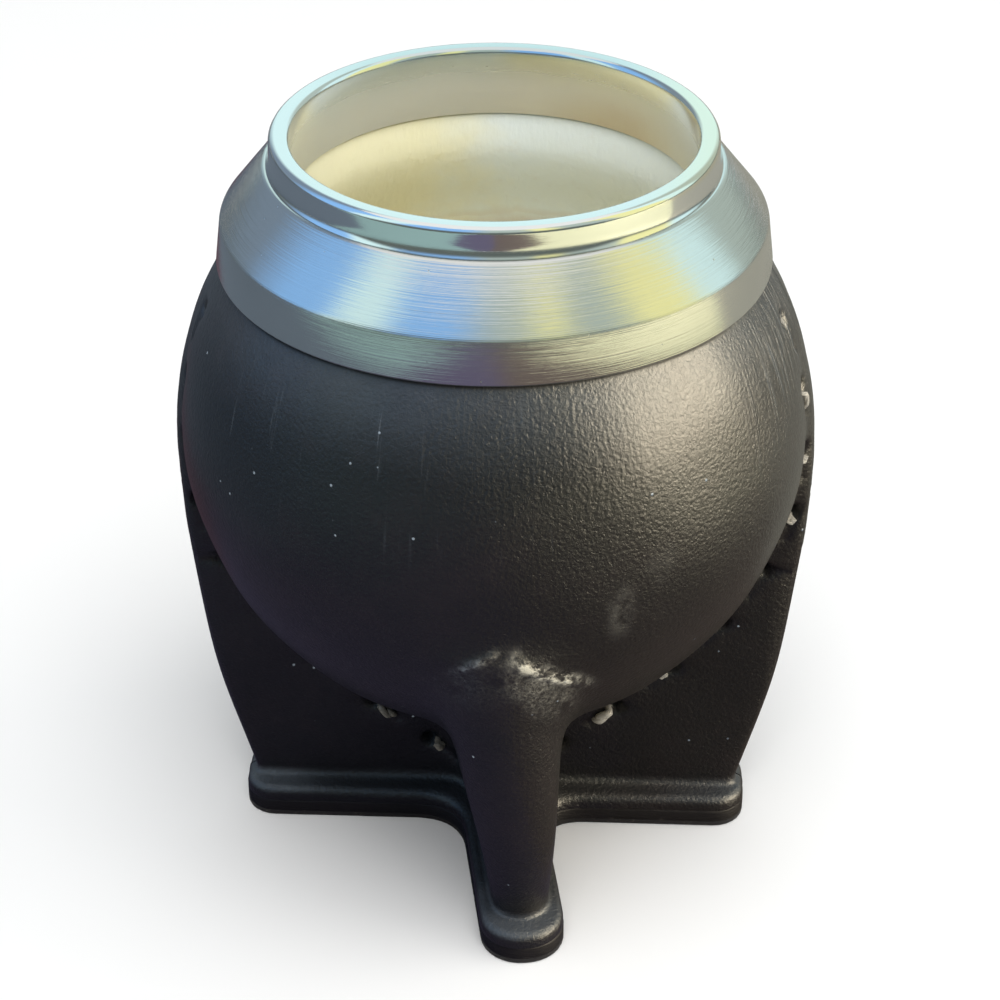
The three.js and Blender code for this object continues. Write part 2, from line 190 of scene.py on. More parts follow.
class CoverSizes(bpy.types.PropertyGroup):
    """Sizes of the leather cover."""

    belly_radius: length("Belly radius", "Widest radius of the belly", 47)
    belly_half_height: length("Belly half height", "Half height of the egg-shaped belly", 48.5)
    belly_middle: length("Belly middle", "Height of the belly's middle over the floor", 75)
    hide: length("Hide", "Thickness of the leather", 2.4)
    seam_gap: length("Seam gap", "Half of the gap between the two panels", 0.15)
    fin: length("Fin", "Thickness of a side fin", 6)
    fin_edge: length("Fin edge", "Rounding of the fin's edge", 1.6)
    fin_join_drop: length("Fin join drop", "Drop to where the fin stands out most", 9)
    fin_join_proud: length("Fin join proud", "How far the fin stands out there", 2.2)
    fin_fade: length("Fin fade", "How deep the fin has sunk in at the ferrule", 2.5)
    fin_setback: length("Fin setback", "How far the fin stays back from the foot's end", 1.8)
    fin_fillet: length("Fin fillet", "Soft corner between fin and belly", 2.5)
    leg_skew: turned("Leg skew", "Turn of both legs at the foot", 9.3)
    leg_twist: turned("Leg twist", "How much less they turn at the knee", 6)
    leg_setback: length("Leg setback", "How far the leg stays back from the foot's end", 4.2)
    leg_foot: length("Leg at foot", "Thickness of a leg at its foot", 8.6)
    knee_drop: length("Knee drop", "How far the knee lies below the belly's middle", 14)
    knee_proud: length("Knee proud", "How far the knee stands out of the belly", 0.9)
    knee: length("Knee", "Thickness of a leg at its knee", 20)
    leg_fillet: length("Leg fillet", "Soft corner between leg and belly", 5.5)
    welt: length("Welt", "Height of the turned-out rim on the sole", 2.4)
    welt_round: length("Welt round", "Rounding of that rim", 1.4)
    welt_fillet: length("Welt fillet", "Soft corner between rim and leg", 1.2)
    foot_reach: length("Foot reach", "Reach of the four feet from the axis", 41.2)
    side_foot: length("Side foot", "Width of the side feet", 14)
    side_foot_corner: length("Side foot corner", "Corner radius of the side feet", 5)
    leg_foot_width: length("Leg foot", "Width of the front and back feet", 13)
    leg_foot_corner: length("Leg foot corner", "Corner radius of the front and back feet", 6.2)
    foot_web: length("Foot web", "Soft inner corner between two feet", 7.5)


class SeamSizes(bpy.types.PropertyGroup):
    """Sizes of the running stitch along both side fins."""

    ply: length("Ply", "Radius of one of the thread's two plies", 0.42)
    lay: length("Lay", "Length of one turn of the plies", 5)
    bead: length("Bead", "How far a stitch stands out of the leather", 0.25)
    inset: length("Inset", "How far the seam line lies inside the belly's radius", 0.6)
    drop: length("Drop", "Drop to the seam's widest point", 11)
    rise_extra: length("Rise extra", "Extra half height of the seam's upper part", 13)
    fall: length("Fall", "How far the seam goes on down from there", 20)
    top_gap: length("Top gap", "Gap between the seam's upper end and the ferrule", 2)
    spread: length("Spread", "How much wider the stitch gets at the ferrule", 4)
    end_radius: length("End radius", "Distance of the seam's lower end from the axis", 6)
    end_rise: length("End rise", "Height of the seam's lower end over the rim", 4.4)
    end_run: length("End run", "Stretch that heads straight for the lower end", 18)
    end_drop: length("End drop", "Drop of the seam over that stretch", 13.5)
    hole: length("Hole", "Radius of an awl hole", 1.0)
    hole_depth: length("Hole depth", "Depth of the pit round an awl hole", 1.6)
    groove: length("Groove", "Depth that the thread presses into the leather", 0.35)
    spans: IntProperty(name="Spans", description="Stitch spans on each side", default=18, min=3)


class FerruleSizes(bpy.types.PropertyGroup):
    """Sizes of the turned aluminium ferrule."""

    mouth_radius: length("Mouth radius", "Inner radius of the mouth", 29)
    sleeve_wall: length("Sleeve wall", "Wall of the sleeve in the mouth", 1.2)
    lip: length("Lip", "Width of the lip", 3)
    lip_flare: length("Lip flare", "How much wider the lip is at its foot", 0.6)
    lip_cove: length("Lip cove", "How far the lip's wall leans in at its top", 0.05)
    lip_edge: length("Lip edge", "Rounding of the lip's top edges", 0.95)
    socket_gap: length("Socket gap", "Gap round the sleeve", 0.3)
    collar_step: length("Collar step", "Step of the collar under the lip", 0.3)
    collar_wall: length("Collar wall", "Wall of the collar", 1.2)
    cone_width: length("Cone width", "How much wider the cone gets", 6.6)
    cone_height: length("Cone height", "Height of the cone", 8.2)
    band_flare: length("Band flare", "How much wider the band gets", 0.85)
    hem: length("Hem", "Wall of the band at its lower edge", 0.8)
    edge: length("Edge", "Rounding of the collar's edges", 0.4)


class GourdSizes(bpy.types.PropertyGroup):
    """Sizes of the dried gourd."""

    inset: length("Inset", "Depth of the gourd below the cover's outside", 3)
    wall: length("Wall", "Wall of the bowl", 5.3)
    neck_wall: length("Neck wall", "Wall of the neck round the sleeve", 2.9)
    neck_blend: length("Neck blend", "Soft corner between bowl and neck", 3.4)
    ledge: length("Ledge", "Ledge under the sleeve", 1)


class CupColours(bpy.types.PropertyGroup):
    """Colours of the finishes."""

    hide: colour("Hide", "Dyed leather", 0.0042, 0.0043, 0.0056)
    hide_warm: colour("Warm hide", "Leather where the dye is thin", 0.0085, 0.0056, 0.0072)
    hide_worn: colour("Worn hide", "Leather that is rubbed at its folds", 0.60, 0.55, 0.42)
    # Real dust in specks and lines, and also the colour of painted sky sheen and painted
    # highlights on the leather
    dust_and_sheen: colour("Dust", "Dust in specks and thin films", 0.36, 0.43, 0.50)
    sole: colour("Sole", "Edge and underside of the sole", 0.005, 0.0048, 0.006)
    thread: colour("Thread", "Waxed thread", 0.50, 0.46, 0.38)
    lip: colour("Lip", "Polished aluminium", 0.80, 0.82, 0.81)
    collar: colour("Collar", "Turned aluminium", 0.76, 0.77, 0.74)
    gourd: colour("Gourd", "Clean wall inside the gourd", 0.96, 0.91, 0.62)
    # Paler, bluer colour for the right-hand side of the wall inside the gourd
    gourd_pale: colour("Pale gourd", "Washed-out wall inside the gourd", 0.88, 0.95, 0.94)
    gourd_stain: colour("Gourd stain", "Wall that the brew has stained", 0.62, 0.46, 0.26)
    rind: colour("Rind", "Outside of the gourd under the leather", 0.45, 0.31, 0.14)
    wood: colour("Wood", "Keel board", 0.47, 0.30, 0.14)
    resin: colour("Resin", "Bedding of the ferrule", 0.17, 0.105, 0.05)
    # Near-black painted shade for the awl holes and for the line under the ferrule
    pit: colour("Pit", "Leather in holes and under the ferrule", 0.0015, 0.0014, 0.0014)
    # Painted reflections on the lip's top: bluish grey at the back, warm on the right
    lip_back_reflection: colour("Dull lip", "Far part of the lip", 0.58, 0.66, 0.66)
    lip_right_reflection: colour("Warm lip", "Right part of the lip", 0.84, 0.82, 0.66)
    brew: colour("Brew", "Film of brew in the mouth", 0.78, 0.74, 0.63)
    brew_dark: colour("Dark brew", "Thicker brew in the mouth", 0.60, 0.46, 0.27)
    rind_dark: colour("Dark rind", "Spots on the rind", 0.24, 0.15, 0.06)


class StageColours(bpy.types.PropertyGroup):
    """Colours of the floor and of the panels that the metal mirrors."""

    floor: colour("Floor", "Pale floor", 0.93, 0.93, 0.925)
    sky: colour("Sky panel", "Blue panel on the left", 0.28, 0.54, 0.96)
    pale: colour("Pale panel", "White panels", 0.74, 0.98, 1.0)
    warm: colour("Warm panel", "Yellow panel on the right", 0.98, 0.94, 0.45)
    plain: colour("Plain panel", "Grey panels behind the camera", 0.46, 0.54, 0.50)
    dark: colour("Dark panel", "Dark gap on the far left", 0.20, 0.26, 0.34)
    front_card: colour("Front card", "Dark card before the cup", 0.11, 0.095, 0.16)
    warm_card: colour("Warm card", "Brown card to the right of that", 0.13, 0.10, 0.09)
    rear_card: colour("Rear card", "Wine-red card behind the cup", 0.12, 0.055, 0.075)
    side_card: colour("Side card", "Grey card behind the cup, to the right", 0.36, 0.35, 0.30)
    left_card: colour("Left card", "Dim card to the left", 0.13, 0.16, 0.20)
    corner_card: colour("Corner card", "Grey-green card, left and before", 0.28, 0.42, 0.41)
    right_card: colour("Right card", "Cream card to the right", 0.84, 0.82, 0.54)


class CoverShape:
    """The outside of the whole leather cover, as a field of distances in metres."""

    def __init__(self, sizes):
        self.sizes = sizes
        self.welt_top = SOLE_TOP + sizes.welt
        self.fin_join = sizes.belly_middle - sizes.fin_join_drop
        self.knee_z = sizes.belly_middle - sizes.knee_drop

    def belly_radius(self, z):
        share = (z - self.sizes.belly_middle) / self.sizes.belly_half_height
        return self.sizes.belly_radius * np.sqrt(np.maximum(1 - share * share, 0))

    def fin_reach(self, z):
        sizes = self.sizes
        join = self.belly_radius(self.fin_join) + sizes.fin_join_proud
        faded = np.clip((z - self.fin_join) / (BAND_Z - self.fin_join), 0, None)
        proud = sizes.fin_join_proud - (sizes.fin_join_proud + sizes.fin_fade) * faded
        upper = self.belly_radius(z) + proud
        left = (self.fin_join - z) / (self.fin_join - self.welt_top)
        lower = join - (join - sizes.foot_reach + sizes.fin_setback) * left * left
        return np.where(z > self.fin_join, upper, lower)

    def leg_reach(self, z):
        sizes = self.sizes
        knee = self.belly_radius(self.knee_z) + sizes.knee_proud
        left = (self.knee_z - z) / (self.knee_z - self.welt_top)
        lower = knee - (knee - sizes.foot_reach + sizes.leg_setback) * left * left
        return np.where(z > self.knee_z, knee - 0.7 * (z - self.knee_z), lower)

    def leg_rise(self, z):
        return np.clip((z - self.welt_top) / (self.knee_z - self.welt_top), 0, 1)

    def leg_thickness(self, z):
        return self.sizes.leg_foot + (self.sizes.knee - self.sizes.leg_foot) * self.leg_rise(z)

    def leg_axes(self, places):
        """Lengths along and across the legs, which turn from the foot to the knee."""
        x, y, z = places[..., 0], places[..., 1], places[..., 2]
        skew = self.sizes.leg_skew - self.sizes.leg_twist * self.leg_rise(z)
        return x * np.sin(skew) - y * np.cos(skew), x * np.cos(skew) + y * np.sin(skew)

    @staticmethod
    def bar(along, across, reach, width, corner):
        """Distance to a rounded bar through the axis."""
        end = np.abs(along) - reach + corner
        side = np.abs(across) - width / 2 + corner
        outside = np.hypot(np.maximum(end, 0), np.maximum(side, 0))
        return outside + np.minimum(np.maximum(end, side), 0) - corner

    @staticmethod
    def blend(first, second, fillet):
        """Union of two distances with a soft corner."""
        overlap = np.maximum(fillet - np.abs(first - second), 0) / fillet
        return np.minimum(first, second) - overlap * overlap * fillet / 4

    def distance(self, places):
        sizes = self.sizes
        x, y, z = places[..., 0], places[..., 1], places[..., 2]
        along, across = self.leg_axes(places)
        radius = np.hypot(x, y)
        height = z - sizes.belly_middle
        size = np.hypot(radius / sizes.belly_radius, height / sizes.belly_half_height)
        slope = np.hypot(radius / sizes.belly_radius**2, height / sizes.belly_half_height**2)
        belly = size * (size - 1) / slope
        fin = self.bar(x, y, self.fin_reach(z), sizes.fin, sizes.fin_edge)
        thickness = self.leg_thickness(z)
        leg = self.bar(along, across, self.leg_reach(z), thickness, thickness / 2)
        upper = self.blend(self.blend(belly, fin, sizes.fin_fillet), leg, sizes.leg_fillet)
        side_foot = self.bar(x, y, sizes.foot_reach, sizes.side_foot, sizes.side_foot_corner)
        leg_foot = self.bar(
            along, across, sizes.foot_reach, sizes.leg_foot_width, sizes.leg_foot_corner
        )
        rim = self.blend(side_foot, leg_foot, sizes.foot_web) + sizes.welt_round
        top = z - self.welt_top + sizes.welt_round
        foot = np.hypot(np.maximum(rim, 0), np.maximum(top, 0))
        foot = foot + np.minimum(np.maximum(rim, top), 0) - sizes.welt_round
        return self.blend(upper, foot, sizes.welt_fillet)

    def around(self, angle, z):
        """Points of the cover's outside at given directions and heights."""
        outmost = self.sizes.belly_radius + self.sizes.foot_reach
        radius = np.full(np.broadcast(angle, z).shape, outmost)
        place = np.stack(np.broadcast_arrays(radius, radius, z), axis=-1).astype(float)
        for _ in range(260):
            place[..., 0] = radius * np.cos(angle)
            place[..., 1] = radius * np.sin(angle)
            radius = radius - 0.8 * self.distance(place)
        place[..., 0] = radius * np.cos(angle)
        place[..., 1] = radius * np.sin(angle)
        return place

    def normal(self, places):
        delta = 1e-5
        here = self.distance(places)
        rises = [self.distance(places + delta * axis) - here for axis in np.eye(3)]
        slope = np.stack(rises, axis=-1)
        return slope / np.linalg.norm(slope, axis=-1, keepdims=True)

    def settle(self, places, distance=0.0, steps=12):
        """Moves points to a given distance outside the cover."""
        for _ in range(steps):
            places = places + self.normal(places) * (distance - self.distance(places))[..., None]
        return places


class Seam:
    """The running stitch on one side: its thread, its holes and the lines that it presses in."""

    def __init__(self, shape, sizes, side):
        cover = shape.sizes
        wide = cover.belly_radius - sizes.inset
        middle = cover.belly_middle - sizes.drop
        rise = cover.belly_half_height + sizes.rise_extra
        turn = np.linspace(math.asin((BAND_Z - sizes.top_gap - middle) / rise), 0, 1000)
        arch = np.stack([wide * np.cos(turn), middle + rise * np.sin(turn)], axis=-1)
        end = np.array([sizes.end_radius, shape.welt_top + sizes.end_rise])
        corners = np.array([
            (wide, middle), (wide, middle - sizes.fall),
            end + (sizes.end_run, sizes.end_drop), end,
        ])
        s = np.linspace(0, 1, 1000)[1:, None]
        weights = np.hstack([(1 - s) ** 3, 3 * s * (1 - s) ** 2, 3 * s * s * (1 - s), s**3])
        line = np.concatenate([arch, weights @ corners])
        walked = walked_share(line)
        share = np.linspace(0, 1, sizes.spans * SPAN_POINTS + 1)
        span = np.minimum((share * sizes.spans).astype(int), sizes.spans - 1)
        part = share * sizes.spans - span
        self.face = np.where(span % 2 == 0, 1.0, -1.0)
        x = side * np.interp(share, walked, line[:, 0])
        z = np.interp(share, walked, line[:, 1])
        hole = np.stack([x, np.zeros_like(x), z], axis=-1)
        upper = np.clip((z - shape.fin_join) / (BAND_Z - shape.fin_join), 0, None)
        aside = self.face * (cover.fin / 2 + START_GAP + sizes.spread * upper)
        self.line = shape.settle(np.stack([x, aside, z], axis=-1))
        out = shape.normal(self.line)
        dive = smooth(part, 0.0, DIVE) * smooth(1 - part, 0.0, DIVE)
        bead = self.bead(part, span, z, side)
        lift = sizes.bead * bead * (1 - 0.9 * smooth(z, *LAID_FLAT)) - SUNK * (1 - bead)
        self.centre = hole + (self.line + out * lift[:, None] - hole) * dive[:, None]
        self.out = out
        self.swell = 0.65 + 0.85 * bead * (1 - smooth(z, *THINNED))
        self.shown = (part > 0.06) & (part < 0.94)
        self.entry = np.abs(part - ENTRY) < 0.75 / SPAN_POINTS

    def bead(self, part, span, z, side):
        """Where the thread lies on the leather: 1 there, 0 where it is drawn in."""
        reach = np.where(span % 6 == 3, LONG_STITCH, SHORT_STITCH + 0.06 * np.sin(2.4 * span))
        bead = smooth(part, *BEAD_START) * (1 - smooth(part, 0.65 * reach, reach + BEAD_FADE))
        drawn = smooth(z, *DRAWN_IN)
        if side > 0:
            drawn = drawn * (1 - smooth(z, *LET_OUT)) + smooth(z, *DRAWN_IN_ABOVE)
        return bead * (1 - np.where(self.face < 0, drawn, 0))

    def plies(self, sizes):
        """Centre lines of the two plies, which wind round the thread's middle."""
        steps = np.gradient(self.centre, axis=0)
        ahead = steps / np.linalg.norm(steps, axis=1, keepdims=True)
        across = np.cross(ahead, self.out)
        across /= np.linalg.norm(across, axis=1, keepdims=True)
        up = np.cross(across, ahead)
        turn = 2 * math.pi * walked_length(self.centre) / sizes.lay
        lines = []
        for phase in (0, math.pi):
            swing = np.cos(turn + phase)[:, None] * up + np.sin(turn + phase)[:, None] * across
            lines.append(self.centre + 0.45 * sizes.ply * self.swell[:, None] * swing)
        return lines


def smooth(value, low, high):
    """Soft step from 0 at low to 1 at high."""
    share = np.clip((value - low) / (high - low), 0, 1)
    return share * share * (3 - 2 * share)


def bell(away, reach):
    """Soft bump that is 1 in its middle and fades over a reach."""
    return np.exp(-((away / reach) ** 2))


def walked_length(line):
    """Length of a line before each of its points."""
    return np.concatenate([[0], np.cumsum(np.linalg.norm(np.diff(line, axis=0), axis=1))])


def walked_share(line):
    """Share of a line's length that lies before each of its points."""
    walked = walked_length(line)
    return walked / walked[-1]


def nearest(points, places):
    """Distance from each place to the nearest of some points, and that point's index."""
    tree = KDTree(len(points))
    for index, point in enumerate(points):
        tree.insert(point, index)
    tree.balance()
    found = [tree.find(place) for place in places]
    return np.array([hit[2] for hit in found]), np.array([hit[1] for hit in found])


def vert_places(bm):
    return np.array([vert.co[:] for vert in bm.verts])


def move_verts(bm, places):
    for vert, place in zip(bm.verts, places):
        vert.co = place


def finished_mesh(name, bm, sharp_degrees=38):
    """Mesh of a bmesh, smooth but for its sharp edges."""
    sharp = math.radians(sharp_degrees)
    for face in bm.faces:
        face.smooth = True
    for edge in bm.edges:
        edge.smooth = len(edge.link_faces) == 2 and edge.calc_face_angle() < sharp
    mesh = bpy.data.meshes.new(name)
    bm.to_mesh(mesh)
    bm.free()
    return mesh


def add_piece(name, mesh, material, node):
    """Object that stands for a CAD node."""
    mesh.materials.append(material)
    piece = bpy.data.objects.new(name, mesh)
    bpy.context.scene.collection.objects.link(piece)
    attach(piece, "root")
    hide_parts(node)


def spun(profile, closed):
    """Bmesh of a profile of radius and height, turned about the Z axis."""
    bm = bmesh.new()
    corners = [bm.verts.new((radius, 0.0, height)) for radius, height in profile]
    followers = corners[1:] + corners[:1] if closed else corners[1:]
    edges = [bm.edges.new(pair) for pair in zip(corners, followers)]
    bmesh.ops.spin(
        bm, geom=corners + edges, cent=(0, 0, 0), axis=(0, 0, 1), dvec=(0, 0, 0),
        angle=2 * math.pi, steps=TURNED_STEPS, use_merge=True,
    )
    bmesh.ops.remove_doubles(bm, verts=bm.verts[:], dist=1e-6)
    bmesh.ops.recalc_face_normals(bm, faces=bm.faces[:])
    return bm


def round_edges(bm, width, segments, degrees=25, where=None):
    """Bevels the edges that are sharper than an angle."""
    sharp = [
        edge for edge in bm.edges
        if len(edge.link_faces) == 2 and edge.calc_face_angle() > math.radians(degrees)
        and (where is None or where(edge))
    ]
    bmesh.ops.bevel(
        bm, geom=sharp, offset=width, offset_type="OFFSET", affect="EDGES", segments=segments,
        profile=0.5, material=-1, clamp_overlap=True,
    )


class Value:
    """A shader socket whose arithmetic in Python adds Math nodes."""

    def __init__(self, finish, socket):
        self.finish = finish
        self.socket = socket

    def maths(self, operation, *values):
        sockets = dict(enumerate(values))
        return self.finish.node("ShaderNodeMath", {"operation": operation}, sockets)["Value"]

    def __add__(self, other):
        return self.maths("ADD", self, other)

    __radd__ = __add__

    def __sub__(self, other):
        return self.maths("SUBTRACT", self, other)

    def __rsub__(self, other):
        return self.maths("SUBTRACT", other, self)

    def __mul__(self, other):
        return self.maths("MULTIPLY", self, other)

    def __truediv__(self, other):
        return self.maths("DIVIDE", self, other)

    def __pow__(self, other):
        return self.maths("POWER", self, other)

    def step(self, low, high):
        """Soft step from 0 at low to 1 at high, which may run downwards."""
        spread = {"Value": self, "From Min": low, "From Max": high, "To Min": 0.0, "To Max": 1.0}
        kind = {"interpolation_type": "SMOOTHSTEP"}
        return self.finish.node("ShaderNodeMapRange", kind, spread)["Result"]


class Finish:
    """A node tree that is built up from code."""

    def __init__(self, owner):
        """Empties the nodes of a material or world."""
        owner.use_nodes = True
        self.owner = owner
        self.tree = owner.node_tree
        self.tree.nodes.clear()

    def node(self, kind, settings=None, sockets=None):
        """Adds a node, sets it up and fills its sockets, and gives its outputs by name."""
        made = self.tree.nodes.new(kind)
        for key, setting in (settings or {}).items():
            if key == "stops":
                self.set_stops(made.color_ramp, setting)
            else:
                setattr(made, key, setting)
        for key, value in (sockets or {}).items():
            socket = made.inputs[key] if isinstance(key, int) else self.shown(made.inputs, key)
            if isinstance(value, Value):
                self.tree.links.new(value.socket, socket)
            else:
                socket.default_value = value
        return {output.name: Value(self, output) for output in made.outputs if output.enabled}

    @staticmethod
    def shown(sockets, name):
        return next(socket for socket in sockets if socket.enabled and socket.name == name)

    @staticmethod
    def set_stops(ramp, stops):
        while len(ramp.elements) < len(stops):
            ramp.elements.new(1.0)
        for element, (position, shade) in zip(ramp.elements, stops):
            element.position = position
            element.color = (*shade, 1.0)

    def places(self):
        return self.node("ShaderNodeTexCoord")["Object"]

    def axes(self, vector):
        parts = self.node("ShaderNodeSeparateXYZ", None, {"Vector": vector})
        return parts["X"], parts["Y"], parts["Z"]

    def vector(self, x, y, z):
        return self.node("ShaderNodeCombineXYZ", None, {"X": x, "Y": y, "Z": z})["Vector"]

    def noise(self, vector, scale, detail=3.0, roughness=0.55, distortion=0.0):
        """Noise of one scale, or of an own scale along each axis."""
        if isinstance(scale, tuple):
            sockets = {"Vector": vector, "Scale": scale}
            vector = self.node("ShaderNodeMapping", None, sockets)["Vector"]
            scale = 1.0
        sockets = {
            "Vector": vector, "Scale": scale, "Detail": detail, "Roughness": roughness,
            "Distortion": distortion,
        }
        return next(iter(self.node("ShaderNodeTexNoise", {"normalize": True}, sockets).values()))

    def warped(self, vector, scale, reach):
        """Places pushed about by a noise, by up to a reach in metres."""
        sockets = {"Vector": vector, "Scale": scale}
        push = self.node("ShaderNodeTexNoise", {"normalize": True}, sockets)["Color"]
        return self.between("MULTIPLY_ADD", push, (reach, reach, reach), vector)["Vector"]

    def between(self, operation, *vectors):
        """Arithmetic of vectors."""
        sockets = dict(enumerate(vectors))
        return self.node("ShaderNodeVectorMath", {"operation": operation}, sockets)

    def lines(self, along, scale, detail=2.0):
        """Noise that changes in one direction only."""
        sockets = {"W": along, "Scale": scale, "Detail": detail, "Roughness": 0.6}
        made = self.node("ShaderNodeTexNoise", {"noise_dimensions": "1D"}, sockets)
        return next(iter(made.values()))

    def cells(self, vector, scale, feature="F1"):
        sockets = {"Vector": vector, "Scale": scale}
        return self.node("ShaderNodeTexVoronoi", {"feature": feature}, sockets)

    def attribute(self, name):
        return self.node("ShaderNodeAttribute", {"attribute_name": name})["Fac"]

    def mixed(self, share, first, second):
        """Colour between two colours."""
        first, second = (
            shade if isinstance(shade, Value) else (*shade, 1.0) for shade in (first, second)
        )
        sockets = {"Factor": share, "A": first, "B": second}
        settings = {"data_type": "RGBA", "clamp_factor": True}
        return self.node("ShaderNodeMix", settings, sockets)["Result"]

    def bump(self, height, depth, before=None):
        """Normal of a relief whose heights from 0 to 1 are a depth in metres."""
        sockets = {"Strength": 1.0, "Distance": depth, "Height": height}
        if before is not None:
            sockets["Normal"] = before
        return self.node("ShaderNodeBump", None, sockets)["Normal"]

    def spot(self, place, centre, radius):
        """Soft patch round a point, given with its own radius along each axis."""
        away = self.between("SUBTRACT", place, centre)["Vector"]
        scaled = self.between("DIVIDE", away, radius)["Vector"]
        return self.between("LENGTH", scaled)["Value"].step(1.0, 0.15)

    def surface(self, **sockets):
        """Material with a principled surface; socket names are written with underscores."""
        named = {name.replace("_", " "): value for name, value in sockets.items()}
        if "IOR Level" in named:
            named["Specular IOR Level"] = named.pop("IOR Level")
        shader = self.node("ShaderNodeBsdfPrincipled", None, named)["BSDF"]
        self.node("ShaderNodeOutputMaterial", None, {"Surface": shader})
        return self.owner


def new_finish(name):
    """Finish for a new material, and the places on the piece that wears it."""
    finish = Finish(bpy.data.materials.new(name))
    return finish, finish.places()


def shaded(tint, share):
    """A colour made darker."""
    return tuple(share * part for part in tint)


def hide_finish(colours):
    """Wet-moulded black leather: grain, stretch lines under the ferrule, rubbed folds, dusty
    specks, painted shade in the awl holes and under the band, and painted sky sheen and welt
    highlights.
    """
    finish, place = new_finish("black_hide")
    x, y, z = finish.axes(place)
    around = finish.node("ShaderNodeUVMap", {"uv_map": "round_and_up"})["UV"]
    wear = finish.attribute("wear")
    crazed = finish.attribute("crazed")
    # Mark of painted shade in and round the awl holes
    pit = finish.attribute("pit")
    tone = finish.noise(place, 55.0, 4.0, 0.6)
    thin = finish.noise(place, 38.0, 2.0) * 0.5 + finish.noise(place, 310.0, 3.0) * 0.5
    pebbles = finish.cells(place, 1800.0, "SMOOTH_F1")["Distance"]
    fine = finish.noise(place, 3400.0, 2.0)
    worms = finish.noise(place, 2000.0, 2.0, 0.5, 1.3)
    stretch = finish.noise(around, (1500.0, 70.0, 1.0), 3.0, 0.55)
    folds = finish.noise(around, (420.0, 34.0, 1.0), 2.0, 0.5)
    under_band = z.step(0.072, 0.1)
    streaks = stretch.step(0.60, 0.76) * finish.noise(place, 120.0, 1.0).step(0.42, 0.62)
    streaks = streaks * under_band
    pleats = stretch.step(0.50, 0.66) * x.step(0.035, 0.040) * z.step(0.080, 0.090)
    # Painted shadow: a dark, matt line in the leather just under the band's hem
    under_band_shadow = z.step(BAND_Z - 0.0010, BAND_Z - 0.0004)
    cells = finish.cells(place, 250.0)
    pick = finish.axes(cells["Color"])[0]
    specks = cells["Distance"].step(0.045 + pick * 0.03, 0.02 + pick * 0.02)
    specks = specks * pick.step(0.50, 0.54)
    flaked = finish.noise(place, 560.0, 4.0, 0.6).step(0.42, 0.60)
    scuff = finish.spot(place, (0.0192, -0.0405, 0.0680), (0.0030, 0.006, 0.0070)) * 0.13
    scuff = scuff + finish.spot(place, (0.0240, -0.0370, 0.0745), (0.0042, 0.006, 0.0050)) * 0.09
    scuff = scuff * finish.noise(place, 420.0, 3.0, 0.6).step(0.30, 0.65)
    webs = finish.cells(finish.warped(place, 900.0, 0.0016), 1250.0, "DISTANCE_TO_EDGE")
    crumbs = finish.noise(place, 1500.0, 3.0, 0.6).step(0.46, 0.68)
    cracks = webs["Distance"].step(0.18, 0.03) * 0.14 + crumbs * 0.24 + 0.06
    cracks = cracks * crazed * finish.noise(place, 300.0, 3.0).step(0.30, 0.58)
    flakes = wear * flaked * 1.4 + cracks
    rubbed = flakes + scuff
    faded = (tone * 0.6 + thin * 0.6).step(0.52, 0.80)
    dyed = finish.mixed(faded, colours.hide, colours.hide_warm)
    # Rubbed leather at the knee: real wear, painted bluish on its left and cream on its right, as
    # the sky and the sun light those sides
    worn_with_painted_tint = finish.mixed(x.step(-0.0016, 0.0012), colours.dust_and_sheen, colours.hide_worn)
    worn = finish.mixed(rubbed * 0.8, dyed, worn_with_painted_tint)
    # Bluish dust film under the band, which also paints in the sky's sheen on the leather there
    film_and_sheen = z.step(0.088, 0.103) * (0.03 + finish.noise(place, 210.0, 4.0, 0.65) * 0.07)
    over_sole = z - SOLE_TOP
    rim = over_sole.step(0.0012, 0.0022) * over_sole.step(0.0042, 0.0026)
    # Painted highlight on the welt's rounded top, strongest at the foot tips and weaker on the
    # right-hand side
    highlight_ends = (x * x + y * y).step(0.0006, 0.0014) * (1.0 - x.step(0.0, 0.02) * 0.5) * 0.85 + 0.15
    film_and_sheen = film_and_sheen + rim * highlight_ends * (0.03 + finish.noise(place, 160.0, 3.0, 0.6) * 0.15)
    # Real dust together with the painted sheen under the band and the painted highlight on the
    # welt
    dust_and_sheen = specks * 0.6 + streaks * 0.12 + pleats * 0.10 + film_and_sheen
    # Painted shade in the holes and under the band turns the leather near black
    shade = finish.mixed(pit + under_band_shadow, finish.mixed(dust_and_sheen, worn, colours.dust_and_sheen), colours.pit)
    matt = pit * 0.3 + under_band_shadow * 0.5 + rim * 0.10
    grain = pebbles * 0.5 + worms * 0.5 + fine * 0.2
    relief = finish.bump(grain, 0.00018)
    relief = finish.bump((stretch + folds) * under_band * 0.5 + pleats, 0.00013, relief)
    relief = finish.bump(flakes + specks * 0.4, 0.00012, relief)
    return finish.surface(
        Base_Color=shade,
        Roughness=0.34 + (tone + pebbles) * 0.08 + rubbed * 0.22 + matt,
        Coat_Weight=(1.0 - rubbed * 0.6) * (1.0 - pit) * (1.0 - under_band_shadow) * (1.0 - rim * 0.8) * 0.22,
        Coat_Roughness=0.25,
        Normal=relief,
    )


